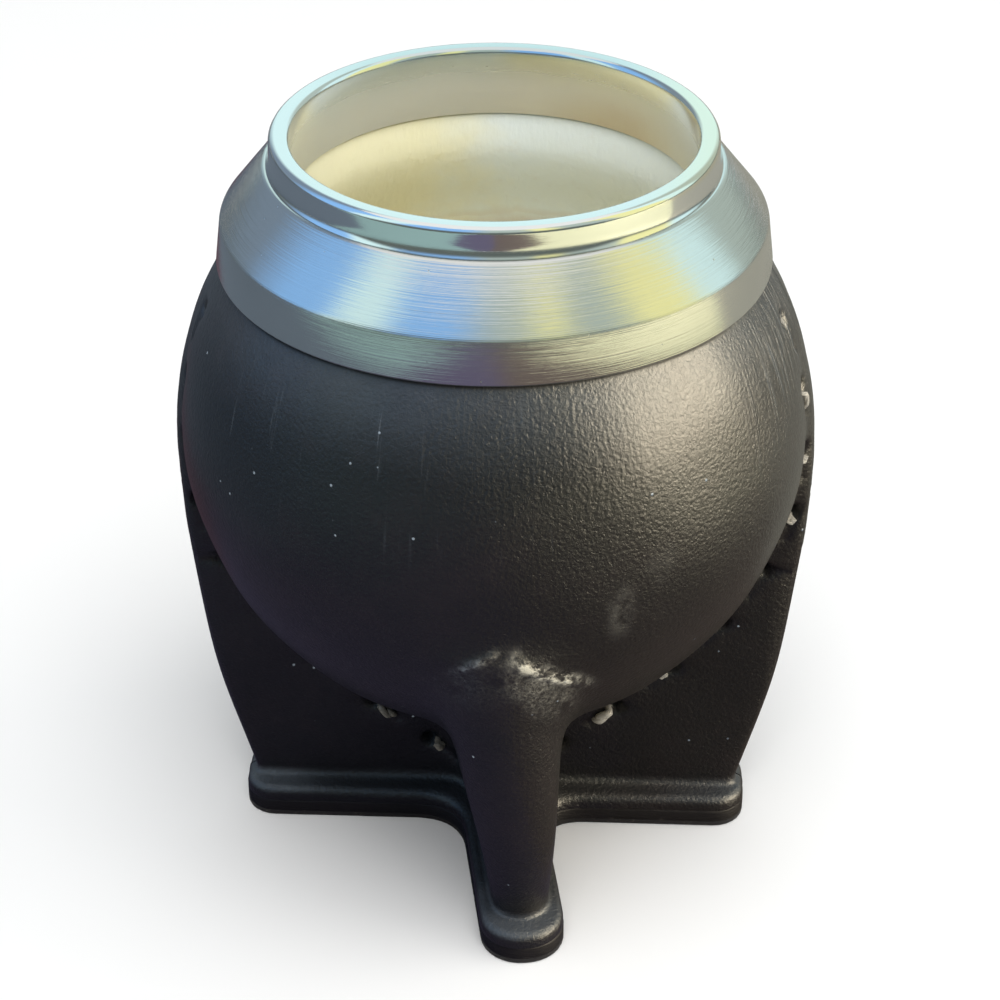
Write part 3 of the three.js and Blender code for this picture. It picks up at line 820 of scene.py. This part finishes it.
def sole_finish(colours):
    """Thick dyed hide with a burnished, slightly fibrous edge."""
    finish, place = new_finish("sole_hide")
    z = finish.axes(place)[2]
    fibres = finish.noise(place, (500.0, 500.0, 2600.0), 4.0, 0.6)
    tone = finish.noise(place, 90.0, 3.0)
    scuffs = finish.noise(place, 620.0, 4.0, 0.7).step(0.58, 0.74) * z.step(0.0022, 0.0)
    dyed = finish.mixed(tone, colours.sole, colours.hide_warm)
    return finish.surface(
        Base_Color=finish.mixed(scuffs * 0.08, dyed, colours.hide_worn),
        Roughness=0.50 + fibres * 0.2 + scuffs * 0.15,
        IOR_Level=0.25,
        Normal=finish.bump(fibres + scuffs * 0.5, 0.00012),
    )


def thread_finish(colours):
    """Waxed thread with fibres, darkened by handling in patches, and painted darker on the
    left-hand seam as if in shade.
    """
    finish, place = new_finish("waxed_thread")
    fibres = finish.noise(place, 5200.0, 3.0, 0.7)
    grime = finish.noise(place, 420.0, 3.0).step(0.44, 0.72)
    # Painted shade: the thread of the left-hand seam is made darker
    painted_shade_side = finish.axes(place)[0].step(0.004, -0.016)
    tint = colours.thread
    dull = shaded(tint, 0.12)
    return finish.surface(
        Base_Color=finish.mixed(grime * 0.35 + fibres * 0.15 + painted_shade_side * 0.75, tint, dull),
        Roughness=0.52 + fibres * 0.2,
        Coat_Weight=0.15,
        Normal=finish.bump(fibres, 0.00006),
    )


def lip_finish(colours):
    """Polished aluminium with faint turning lines, hairline scratches and painted reflections
    tinting its top.
    """
    finish, place = new_finish("polished_aluminium")
    x, y, z = finish.axes(place)
    radius = (x * x + y * y) ** 0.5
    along = z - radius
    turning = finish.lines(along, 2600.0, 2.0)
    inside = z.step(CONE_TOP_Z + 0.0045, CONE_TOP_Z - 0.003) * radius.step(0.0300, 0.0294)
    steeped = finish.spot(place, (0.018, 0.023, 0.109), (0.017, 0.015, 0.009)) * inside
    smears = finish.noise(place, 140.0, 4.0, 0.6)
    scratches = finish.noise(place, (700.0, 700.0, 5200.0), 3.0).step(0.60, 0.72)
    top = z.step(LIP_TOP - 0.0016, LIP_TOP - 0.0008)
    # Painted reflections: the top of the lip is tinted bluish grey at the back and warm on the
    # right
    darker_metal = finish.mixed(y.step(0.010, 0.030) * top * 0.7, colours.lip, colours.lip_back_reflection)
    tint = finish.mixed(x.step(0.018, 0.031) * top * 0.8, darker_metal, colours.lip_right_reflection)
    brewed = finish.mixed(inside * (0.35 + smears * 0.6), tint, colours.brew)
    return finish.surface(
        Base_Color=finish.mixed(steeped * (0.25 + smears * 0.5), brewed, colours.brew_dark),
        Metallic=1.0 - inside * (0.35 + smears * 0.3),
        Roughness=0.08 + smears * 0.08 + scratches * 0.08 + inside * 0.30,
        Normal=finish.bump(turning * 0.25 + scratches * 0.1, 0.000012),
    )


def collar_finish(colours):
    """Turned aluminium: fine rings round the axis, with duller patches and nicks."""
    finish, place = new_finish("brushed_aluminium")
    x, y, z = finish.axes(place)
    radius = (x * x + y * y) ** 0.5
    along = z - radius
    angle = x.maths("ARCTAN2", x, y)
    broad = finish.lines(along, 900.0, 1.0)
    rings = finish.lines(along, 3400.0, 3.0)
    patches = finish.noise(finish.vector(angle * 2.2, along * 120.0, 0.0), 1.0, 3.0, 0.6)
    broken = finish.noise(finish.vector(angle * 9.0, along * 5200.0, 0.0), 1.0, 2.0)
    smears = finish.noise(place, 95.0, 4.0, 0.6)
    nicks = finish.cells(place, 420.0)
    nick = nicks["Distance"].step(0.07, 0.03) * finish.axes(nicks["Color"])[0].step(0.82, 0.84)
    darker_metal = smears * 0.5 + rings * 0.3 + nick * 0.5
    relief = broad * 0.5 + rings * (0.35 + patches * 0.6) + broken * 0.3 - nick * 0.5
    return finish.surface(
        Base_Color=finish.mixed(darker_metal, colours.collar, shaded(colours.collar, 0.78)),
        Metallic=1.0,
        Roughness=0.09 + smears * 0.08 + rings * 0.06 + nick * 0.2,
        Normal=finish.bump(relief, 0.00004),
    )


def gourd_finish(colours):
    """Dried gourd: a cream wall with tide marks, paler on one side, and a brown rind outside."""
    finish, place = new_finish("dried_gourd")
    x, y, z = finish.axes(place)
    radius = (x * x + y * y) ** 0.5
    height = (z - 0.075) / 0.0455
    outside = ((radius / 0.044) ** 2.0 + height * height).step(0.88, 0.93)
    outside = outside * (1.0 - z.step(0.088, 0.09) * radius.step(0.0328, 0.0322))
    clouds = finish.noise(place, 46.0, 4.0, 0.6)
    mottle = finish.noise(place, 330.0, 5.0, 0.65)
    fibres = finish.noise(place, (900.0, 900.0, 260.0), 4.0, 0.6)
    level = z + (clouds - 0.5) * 0.008
    stain = level.step(0.084, 0.060) * 0.8
    stain = stain + finish.spot(place, (0.003, 0.038, 0.0870), (0.017, 0.02, 0.0048)) * 0.9
    tide = level.step(0.0903, 0.0909) * level.step(0.0926, 0.0912)
    # Paler, bluer colour on the right-hand side of the wall
    right_side_share = (x + (clouds - 0.5) * 0.03).step(-0.014, 0.006)
    clean = finish.mixed(right_side_share, colours.gourd, colours.gourd_pale)
    soaked = stain * (0.25 + mottle * 0.6) + tide * 0.16
    brewed = finish.mixed(soaked, clean, colours.gourd_stain)
    wall = finish.mixed((mottle * 0.6).step(0.32, 0.55) * 0.16, brewed, colours.gourd_stain)
    rind = finish.mixed(mottle, colours.rind, colours.rind_dark)
    return finish.surface(
        Base_Color=finish.mixed(outside, wall, rind),
        Roughness=0.62 + mottle * 0.2 - stain * 0.12,
        Normal=finish.bump(fibres * 0.6 + mottle * 0.5, 0.0003),
    )


def wood_finish(colours):
    """Raw pale board with upright grain."""
    finish, place = new_finish("pale_wood")
    rings = finish.noise(place, (420.0, 90.0, 26.0), 4.0, 0.6, 0.6)
    pores = finish.noise(place, (2600.0, 2600.0, 160.0), 2.0)
    tint = colours.wood
    dark = shaded(tint, 0.55)
    return finish.surface(
        Base_Color=finish.mixed(rings.step(0.35, 0.7) * 0.8 + pores * 0.2, tint, dark),
        Roughness=0.72 + pores * 0.15,
        Normal=finish.bump(pores + rings * 0.4, 0.0001),
    )


def resin_finish(colours):
    """Cast filler with bubbles and a dull skin."""
    finish, place = new_finish("resin")
    flow = finish.noise(place, 160.0, 4.0, 0.6, 0.8)
    bubbles = finish.cells(place, 1300.0)["Distance"].step(0.16, 0.05)
    tint = colours.resin
    dark = shaded(tint, 0.5)
    return finish.surface(
        Base_Color=finish.mixed(flow * 0.8 + bubbles * 0.3, tint, dark),
        Roughness=0.45 + flow * 0.25,
        Normal=finish.bump(flow - bubbles * 0.6, 0.00015),
    )


def floor_finish(colours):
    """Plain pale floor with a barely uneven tone."""
    finish, place = new_finish("pale_floor")
    tone = finish.noise(place, 3.0, 2.0)
    tint = colours.floor
    shade = shaded(tint, 0.985)
    uneven = finish.mixed(tone, tint, shade)
    return finish.surface(Base_Color=uneven, Roughness=0.85, IOR_Level=0.1)


def surround_finish(colours):
    """Panels round the set: blue on the left, warm on the right, dim near the floor."""
    finish, place = new_finish("studio_panels")
    x, y, z = finish.axes(place)
    turn = x.maths("ARCTAN2", x, y) / (2 * math.pi) + 0.5
    stops = [(degrees / 360 + 0.5, getattr(colours, name)) for degrees, name in PANELS]
    panel = finish.node("ShaderNodeValToRGB", {"stops": stops}, {"Fac": turn})["Color"]
    low = shaded(colours.plain, 0.25)
    before = y.step(-0.5, -1.2)
    shade = finish.mixed(z.step(before * 0.33 + 0.02, before * 0.72 + 0.25), low, panel)
    light = finish.node("ShaderNodeEmission", None, {"Color": shade, "Strength": PANEL_STRENGTH})
    finish.node("ShaderNodeOutputMaterial", None, {"Surface": light["Emission"]})
    return finish.owner


def card_finish(name, tint):
    """Matt card with a woven face."""
    finish, place = new_finish(name)
    weave = finish.noise(place, 900.0, 2.0)
    shade = shaded(tint, 0.8)
    woven = finish.mixed(weave, tint, shade)
    return finish.surface(Base_Color=woven, Roughness=0.9, IOR_Level=0.1)


class MATECUP_OT_cover(bpy.types.Operator):
    """Builds the two moulded leather panels"""

    bl_idname = "matecup.cover"
    bl_label = "Leather cover"

    def execute(self, context):
        scene = context.scene
        shape = CoverShape(scene.matecup_cover)
        seams = [Seam(shape, scene.matecup_seam, side) for side in (1, -1)]
        material = hide_finish(scene.matecup_colours)
        for name, face in (("front", -1), ("back", 1)):
            mesh = self.panel(shape, seams, scene.matecup_seam, face)
            node = f"{name}_leather_panel"
            add_piece(f"{name}_leather_cover", mesh, material, node)
        return {"FINISHED"}

    def panel(self, shape, seams, sizes, face):
        """One panel: a grid on the cover, finer and pressed in at the seams, made thick."""
        bm = bmesh.new()
        bmesh.ops.create_grid(bm, x_segments=PANEL_COLUMNS, y_segments=PANEL_ROWS, size=0.5)
        grid = vert_places(bm) + 0.5
        angles, heights = self.spacing(shape, math.pi if face < 0 else 0.0)
        shares = np.linspace(0, 1, len(angles))
        angle = np.interp(grid[:, 0], shares, angles)
        height = np.interp(grid[:, 1], np.linspace(0, 1, len(heights)), heights)
        move_verts(bm, shape.around(angle, height))
        shown = np.concatenate([seam.line[seam.shown & (seam.face == face)] for seam in seams])
        entries = np.concatenate([seam.line[seam.entry & (seam.face == face)] for seam in seams])
        for reach in REFINED_REACHES:
            places = vert_places(bm)
            rubbed = self.knee(shape, places)[1] > 20 * reach
            self.refine(bm, (nearest(shown, places)[0] < reach) | rubbed)
        places = shape.settle(vert_places(bm), steps=4)
        edge = np.abs(places[:, 1]) < 2e-5
        places[edge, 1] = face * shape.sizes.seam_gap
        out = shape.normal(places)
        seam_away = nearest(shown, places)[0]
        hole_away = nearest(entries, places)[0]
        sink = sizes.groove * bell(seam_away, GROOVE_REACH)
        sink += sizes.hole_depth * bell(hole_away, sizes.hole)
        sink += DIMPLE * bell(hole_away, DIMPLE_REACH)
        x, y, z = places.T
        lumps = LUMP * np.sin(x * 210 + 1.3) * np.sin(z * 180 + y * 140)
        creases, wear, crazed = self.knee(shape, places)
        places += out * ((lumps + creases - sink) * ~edge)[:, None]
        move_verts(bm, places)
        # Painted shade in and round each awl hole, kept as the pit mark
        pit = np.exp(-((hole_away / (0.8 * sizes.hole)) ** 4))
        self.paint(bm, places, {"wear": wear, "crazed": crazed, "pit": pit})
        bmesh.ops.solidify(bm, geom=bm.faces[:], thickness=shape.sizes.hide)
        return finished_mesh("leather_cover", bm, 50)

    def spacing(self, shape, start):
        """Directions and heights of the grid lines, closer where the cover turns sharply."""
        sweep = np.linspace(start, start + math.pi, 2400)
        walked = sum(
            walked_share(shape.around(sweep, np.full_like(sweep, z)))
            for z in SPACING_HEIGHTS
        )
        angles = np.interp(np.linspace(0, walked[-1], PANEL_COLUMNS + 1), walked, sweep)
        rise = np.linspace(SOLE_TOP, COVER_TOP, 2400)
        walked = sum(
            walked_share(shape.around(np.full_like(rise, start + math.radians(turn)), rise))
            for turn in SPACING_TURNS
        )
        heights = np.interp(np.linspace(0, walked[-1], PANEL_ROWS + 1), walked, rise)
        return angles, heights

    def refine(self, bm, near):
        """Halves the faces whose corners are all marked."""
        bm.verts.index_update()
        edges = [edge for edge in bm.edges if all(near[vert.index] for vert in edge.verts)]
        bmesh.ops.subdivide_edges(bm, edges=edges, cuts=1, use_grid_fill=True)
        bm.verts.index_update()

    def knee(self, shape, places):
        """Creases of the fold at the knee, and where the leather is rubbed and crazed there."""
        along, across = shape.leg_axes(places)
        along = np.abs(along)
        across = across * np.sign(-places[:, 1])
        z = places[:, 2]
        front = smooth(along, 0.030, 0.038)
        aside = across - 0.0002
        slope = np.where(aside > 0, FOLD_SLOPE_RIGHT, FOLD_SLOPE_LEFT)
        above = z - (shape.knee_z + FOLD_PEAK - slope * np.abs(aside))
        right = smooth(aside, 0.0002, 0.0034) * (1 - smooth(aside, 0.009, 0.0145))
        left = smooth(-aside, -0.0004, 0.001) * (1 - smooth(-aside, 0.005, 0.0085))
        ridge = (bell(above, 0.0013) * right + bell(above, 0.0005) * left) * front
        fan = (0.12 + 0.88 * smooth(aside, -0.001, 0.004)) * front
        fan *= 1 - smooth(np.abs(aside), 0.007, 0.0115)
        fan *= smooth(-above, -0.0006, 0.001) * (1 - smooth(-above, 0.004, 0.0115))
        wear = np.clip(ridge * (right + 0.2 * left), 0, 1)
        creases = 0.00035 * ridge - 0.00025 * bell(above + 0.0022, 0.0009) * right * front
        return creases, wear, np.clip(fan + 0.5 * ridge, 0, 1)

    def paint(self, bm, places, marks):
        """Keeps some marks and a map round and up the cover for the finish."""
        bm.verts.index_update()
        for name, values in marks.items():
            layer = bm.verts.layers.float.new(name)
            for vert in bm.verts:
                vert[layer] = float(values[vert.index])
        turn = np.arctan2(places[:, 1], places[:, 0]) % (2 * math.pi)
        turn = np.where((turn > 6.2) & (places[:, 1] > 0), 0.0, turn)
        uv = bm.loops.layers.uv.new("round_and_up")
        for face in bm.faces:
            for loop in face.loops:
                index = loop.vert.index
                loop[uv].uv = (turn[index] * 0.044, places[index, 2])


class MATECUP_OT_thread(bpy.types.Operator):
    """Builds the two-ply thread of both side seams"""

    bl_idname = "matecup.thread"
    bl_label = "Seam threads"

    def execute(self, context):
        scene = context.scene
        shape = CoverShape(scene.matecup_cover)
        material = thread_finish(scene.matecup_colours)
        for name, side in (("right", 1), ("left", -1)):
            seam = Seam(shape, scene.matecup_seam, side)
            plies = seam.plies(scene.matecup_seam)
            mesh = self.tube(f"{name}_stitches", plies, seam.swell, scene.matecup_seam.ply)
            add_piece(f"{name}_stitches", mesh, material, f"{name}_seam_thread")
        return {"FINISHED"}

    def tube(self, name, lines, swell, radius):
        """Mesh of round tubes along some lines, thicker where they swell."""
        curve = bpy.data.curves.new(name, "CURVE")
        curve.dimensions = "3D"
        curve.bevel_depth = radius
        curve.bevel_resolution = 2
        curve.use_fill_caps = True
        for line in lines:
            spline = curve.splines.new("POLY")
            spline.points.add(len(line) - 1)
            spline.points.foreach_set("co", np.c_[line, np.ones(len(line))].ravel())
            spline.points.foreach_set("radius", swell)
        draft = bpy.data.objects.new(name, curve)
        bpy.context.scene.collection.objects.link(draft)
        bpy.context.view_layer.update()
        solved = draft.evaluated_get(bpy.context.evaluated_depsgraph_get())
        mesh = bpy.data.meshes.new_from_object(solved)
        bpy.data.objects.remove(draft)
        bm = bmesh.new()
        bm.from_mesh(mesh)
        bpy.data.meshes.remove(mesh)
        return finished_mesh(name, bm, 60)


class MATECUP_OT_ferrule(bpy.types.Operator):
    """Turns the mouth sleeve with its lip and the collar"""

    bl_idname = "matecup.ferrule"
    bl_label = "Ferrule"

    def execute(self, context):
        scene = context.scene
        sizes = scene.matecup_ferrule
        colours = scene.matecup_colours
        add_piece(
            "mouth_lip", self.lip(sizes), lip_finish(colours),
            "mouth_sleeve",
        )
        add_piece(
            "turned_collar", self.collar(sizes), collar_finish(colours),
            "ferrule_collar",
        )
        return {"FINISHED"}

    def lip(self, sizes):
        bore = sizes.mouth_radius
        sleeve = bore + sizes.sleeve_wall
        lip = bore + sizes.lip
        tall = LIP_TOP - CONE_TOP_Z
        bm = spun(
            [
                (bore, SLEEVE_Z), (sleeve, SLEEVE_Z), (sleeve, CONE_TOP_Z),
                (lip + sizes.lip_flare, CONE_TOP_Z),
                (lip + 0.7 * sizes.lip_flare, CONE_TOP_Z + 0.06 * tall),
                (lip + 0.35 * sizes.lip_flare, CONE_TOP_Z + 0.2 * tall),
                (lip + 0.1 * sizes.lip_flare, CONE_TOP_Z + 0.42 * tall),
                (lip - sizes.lip_cove, LIP_TOP), (bore, LIP_TOP),
            ],
            closed=True,
        )
        top = LIP_TOP - 1e-5
        round_edges(
            bm, sizes.lip_edge, 5, where=lambda edge: min(vert.co.z for vert in edge.verts) > top
        )
        round_edges(bm, 0.00012, 2, 40)
        return finished_mesh("mouth_lip", bm)

    def collar(self, sizes):
        bore = sizes.mouth_radius + sizes.sleeve_wall + sizes.socket_gap
        cone_top = sizes.mouth_radius + sizes.lip + sizes.lip_flare + sizes.collar_step
        shoulder = cone_top + sizes.cone_width
        shoulder_z = CONE_TOP_Z - sizes.cone_height
        band = shoulder + sizes.band_flare
        slope = math.hypot(sizes.cone_height, sizes.cone_width)
        inward = sizes.collar_wall * sizes.cone_height / slope
        downward = sizes.collar_wall * sizes.cone_width / slope
        flange = CONE_TOP_Z - sizes.collar_wall
        fall = flange - CONE_TOP_Z + downward
        inner_top = cone_top - inward - fall * sizes.cone_width / sizes.cone_height
        bm = spun(
            [
                (band - sizes.hem, BAND_Z), (band, BAND_Z), (shoulder, shoulder_z),
                (cone_top, CONE_TOP_Z), (bore, CONE_TOP_Z), (bore, flange), (inner_top, flange),
                (shoulder - inward, shoulder_z - downward),
            ],
            closed=True,
        )
        round_edges(bm, sizes.edge, 3)
        return finished_mesh("turned_collar", bm)


class MATECUP_OT_gourd(bpy.types.Operator):
    """Turns the gourd with its bowl, neck and ledge"""

    bl_idname = "matecup.gourd"
    bl_label = "Gourd"

    def execute(self, context):
        scene = context.scene
        mesh = self.shell(scene.matecup_gourd, scene.matecup_cover, scene.matecup_ferrule)
        material = gourd_finish(scene.matecup_colours)
        add_piece("gourd_bowl", mesh, material, "gourd_shell")
        return {"FINISHED"}

    def shell(self, sizes, cover, ferrule):
        socket = ferrule.mouth_radius + ferrule.sleeve_wall + ferrule.socket_gap
        ledge_z = SLEEVE_Z - ferrule.socket_gap
        outside = self.side(sizes, cover, sizes.inset, socket + sizes.neck_wall, GOURD_TOP)
        inside = self.side(sizes, cover, sizes.inset + sizes.wall, socket - sizes.ledge, ledge_z)
        bm = spun(outside + [(socket, GOURD_TOP), (socket, ledge_z)] + inside[::-1], closed=False)
        places = vert_places(bm)
        x, y, z = places.T
        middle = cover.belly_radius - sizes.inset - 0.5 * sizes.wall
        hollow = (np.hypot(x, y) < middle) & (z < ledge_z - 0.002)
        swell = np.sin(x * 160 + 0.7) * np.sin(y * 130) * np.sin(z * 150 + 1.1)
        places[:, :2] *= (1 + 0.006 * swell * hollow)[:, None]
        move_verts(bm, places)
        round_edges(bm, 0.0003, 2, 40)
        return finished_mesh("gourd_bowl", bm)

    def side(self, sizes, cover, inset, neck, top):
        """One side of the wall: the bowl from its lowest point, the soft corner and the neck."""
        wide = cover.belly_radius - inset
        tall = cover.belly_half_height - inset
        turn = math.acos((neck + sizes.neck_blend) / wide)
        sweep = np.linspace(-math.pi / 2, turn, 60)
        bowl = [
            (max(wide * math.cos(t), 0.0), cover.belly_middle + tall * math.sin(t)) for t in sweep
        ]
        bowl[0] = (0.0, bowl[0][1])
        corner_r, corner_z = bowl[-1]
        bend = corner_z + sizes.neck_blend * tall * math.cos(turn) / (wide * math.sin(turn))
        neck_z = bend + sizes.neck_blend
        rounding = [
            (
                (1 - s) ** 2 * corner_r + 2 * s * (1 - s) * neck + s * s * neck,
                (1 - s) ** 2 * corner_z + 2 * s * (1 - s) * bend + s * s * neck_z,
            )
            for s in np.linspace(0, 1, 9)[1:]
        ]
        return bowl + rounding + [(neck, top)]


class MATECUP_OT_sole(bpy.types.Operator):
    """Cuts the cross-shaped sole"""

    bl_idname = "matecup.sole"
    bl_label = "Sole"

    def execute(self, context):
        scene = context.scene
        shape = CoverShape(scene.matecup_cover)
        sweep = np.linspace(0, 2 * math.pi, 4800)
        outline = shape.around(sweep, np.full_like(sweep, SOLE_TOP))
        walked = walked_share(outline)
        bm = bmesh.new()
        bmesh.ops.create_circle(bm, cap_ends=True, segments=SOLE_CORNERS, radius=1.0)
        places = vert_places(bm)
        share = (np.arctan2(places[:, 1], places[:, 0]) / (2 * math.pi)) % 1.0
        for axis in (0, 1):
            places[:, axis] = np.interp(share, walked, outline[:, axis])
        places[:, 2] = SOLE_TOP
        move_verts(bm, places)
        drop = bmesh.ops.extrude_face_region(bm, geom=bm.faces[:])["geom"]
        lower = [part for part in drop if isinstance(part, bmesh.types.BMVert)]
        bmesh.ops.translate(bm, vec=(0, 0, -SOLE_TOP), verts=lower)
        bmesh.ops.recalc_face_normals(bm, faces=bm.faces[:])
        round_edges(bm, 0.0004, 3, 50)
        mesh = finished_mesh("foot_sole", bm)
        add_piece("foot_sole", mesh, sole_finish(scene.matecup_colours), "sole")
        return {"FINISHED"}


class MATECUP_OT_core(bpy.types.Operator):
    """Gives the hidden keel board and ferrule bedding their finishes"""

    bl_idname = "matecup.core"
    bl_label = "Keel and bedding"

    def execute(self, context):
        colours = context.scene.matecup_colours
        for node, material in (
            ("keel_board", wood_finish(colours)),
            ("ferrule_bedding", resin_finish(colours)),
        ):
            solid = frame["nodes"][node]
            solid.data.materials.clear()
            solid.data.materials.append(material)
        return {"FINISHED"}


class MATECUP_OT_stage(bpy.types.Operator):
    """Sets up the floor, panels, lamps, world and camera"""

    bl_idname = "matecup.stage"
    bl_label = "Stage"

    def execute(self, context):
        scene = context.scene
        colours = scene.matecup_stage
        self.floor(colours)
        self.surround(colours)
        self.cards(colours)
        lamps = {name: self.lamp(name, *values) for name, values in LAMPS.items()}
        lamps["low_sun"].visible_diffuse = False
        self.aim_at(("gourd_bowl",), "INCLUDE", lamps["bowl_lamp"])
        self.aim_at(
            ("mouth_lip", "turned_collar"), "EXCLUDE", lamps["sky_window"], lamps["low_sun"]
        )
        self.world(scene)
        self.camera(scene)
        scene.view_settings.view_transform = "Standard"
        return {"FINISHED"}

    def prop(self, name, bm, material):
        mesh = finished_mesh(name, bm)
        mesh.materials.append(material)
        thing = bpy.data.objects.new(name, mesh)
        bpy.context.scene.collection.objects.link(thing)
        return thing

    def only_mirrored(self, thing):
        """Shows a prop in reflections alone."""
        thing.visible_camera = False
        thing.visible_diffuse = False
        thing.visible_shadow = False
        thing.visible_volume_scatter = False

    def floor(self, colours):
        bm = bmesh.new()
        bmesh.ops.create_grid(bm, x_segments=8, y_segments=8, size=FLOOR_HALF)
        self.prop("floor", bm, floor_finish(colours))

    def surround(self, colours):
        bm = bmesh.new()
        bmesh.ops.create_circle(bm, cap_ends=False, segments=96, radius=PANEL_RADIUS)
        raised = bmesh.ops.extrude_edge_only(bm, edges=bm.edges[:])["geom"]
        upper = [part for part in raised if isinstance(part, bmesh.types.BMVert)]
        bmesh.ops.translate(bm, vec=(0, 0, PANEL_HEIGHT), verts=upper)
        self.only_mirrored(self.prop("panels", bm, surround_finish(colours)))

    def cards(self, colours):
        """Cards on the floor that only the metal and the leather mirror."""
        for name, x0, x1, y0, y1 in CARDS:
            material = card_finish(name, getattr(colours, name))
            bm = bmesh.new()
            bmesh.ops.create_grid(bm, x_segments=4, y_segments=4, size=0.5)
            bmesh.ops.scale(bm, vec=(x1 - x0, y1 - y0, 1), verts=bm.verts[:])
            middle = ((x0 + x1) / 2, (y0 + y1) / 2, CARD_Z)
            bmesh.ops.translate(bm, vec=middle, verts=bm.verts[:])
            self.only_mirrored(self.prop(name, bm, material))

    def lamp(self, name, azimuth, elevation, away, size, watts, tint, mirrored):
        """Square lamp aimed at the cup; azimuth 0 is behind it and 90 on its right."""
        light = bpy.data.lights.new(name, "AREA")
        light.shape = "SQUARE"
        light.size = size
        light.energy = watts
        light.color = tint
        lamp = bpy.data.objects.new(name, light)
        bpy.context.scene.collection.objects.link(lamp)
        turn, rise = math.radians(azimuth), math.radians(elevation)
        level = math.cos(rise)
        aim = Vector((math.sin(turn) * level, math.cos(turn) * level, math.sin(rise)))
        lamp.location = Vector((0, 0, AIM_Z)) + away * aim
        lamp.rotation_euler = aim.to_track_quat("Z", "Y").to_euler()
        lamp.visible_camera = False
        lamp.visible_glossy = mirrored
        return lamp

    def aim_at(self, names, state, *lamps):
        """Lets lamps light some pieces alone, or all but those pieces."""
        chosen = bpy.data.collections.new(f"{lamps[0].name}_pieces")
        for piece in bpy.context.scene.collection.objects:
            if piece.name in names:
                chosen.objects.link(piece)
        for entry in chosen.collection_objects:
            entry.light_linking.link_state = state
        for lamp in lamps:
            lamp.light_linking.receiver_collection = chosen

    def world(self, scene):
        """Even soft light, with white for what the camera and mirrors see past the panels."""
        scene.world = bpy.data.worlds.new("studio")
        finish = Finish(scene.world)
        path = finish.node("ShaderNodeLightPath")
        seen = path["Is Camera Ray"] + path["Is Glossy Ray"] + path["Is Transmission Ray"]
        shade = finish.mixed(seen, SOFT_LIGHT, WHITE)
        sky = finish.node("ShaderNodeBackground", None, {"Color": shade, "Strength": 1.0})
        finish.node("ShaderNodeOutputWorld", None, {"Surface": sky["Background"]})

    def camera(self, scene):
        """Camera at the photograph's place: in front, looking down on the cup."""
        lens = bpy.data.cameras.new("camera")
        lens.sensor_width = SENSOR
        lens.sensor_fit = "HORIZONTAL"
        lens.lens = FOCAL_LENGTH
        lens.clip_start = 0.01
        camera = bpy.data.objects.new("camera", lens)
        scene.collection.objects.link(camera)
        camera.location = (
            CAMERA_AWAY * math.sin(CAMERA_TURN), -CAMERA_AWAY * math.cos(CAMERA_TURN), CAMERA_Z
        )
        camera.rotation_euler = (math.pi / 2 - CAMERA_DIP, 0.0, CAMERA_TURN - CAMERA_PAN)
        scene.camera = camera


class MATECUP_PT_panel(bpy.types.Panel):
    """Lists the pieces and their sizes"""

    bl_idname = "MATECUP_PT_panel"
    bl_label = "Mate gourd cup"
    bl_space_type = "VIEW_3D"
    bl_region_type = "UI"
    bl_category = "Mate cup"

    def draw(self, context):
        for operator in OPERATORS:
            self.layout.operator(operator.bl_idname)
        for name, group in GROUPS:
            box = self.layout.box()
            box.label(text=group.__doc__)
            for key in group.__annotations__:
                box.prop(getattr(context.scene, name), key)


GROUPS = (
    ("matecup_cover", CoverSizes),
    ("matecup_seam", SeamSizes),
    ("matecup_ferrule", FerruleSizes),
    ("matecup_gourd", GourdSizes),
    ("matecup_colours", CupColours),
    ("matecup_stage", StageColours),
)
OPERATORS = (
    MATECUP_OT_cover,
    MATECUP_OT_thread,
    MATECUP_OT_ferrule,
    MATECUP_OT_gourd,
    MATECUP_OT_sole,
    MATECUP_OT_core,
    MATECUP_OT_stage,
)


def register():
    for name, group in GROUPS:
        bpy.utils.register_class(group)
        setattr(bpy.types.Scene, name, PointerProperty(type=group))
    for operator in OPERATORS:
        bpy.utils.register_class(operator)
    bpy.utils.register_class(MATECUP_PT_panel)


def unregister():
    bpy.utils.unregister_class(MATECUP_PT_panel)
    for operator in reversed(OPERATORS):
        bpy.utils.unregister_class(operator)
    for name, group in reversed(GROUPS):
        delattr(bpy.types.Scene, name)
        bpy.utils.unregister_class(group)


def main():
    register()
    bpy.ops.matecup.cover()
    bpy.ops.matecup.thread()
    bpy.ops.matecup.ferrule()
    bpy.ops.matecup.gourd()
    bpy.ops.matecup.sole()
    bpy.ops.matecup.core()
    bpy.ops.matecup.stage()


if __name__ == "__main__":
    main()
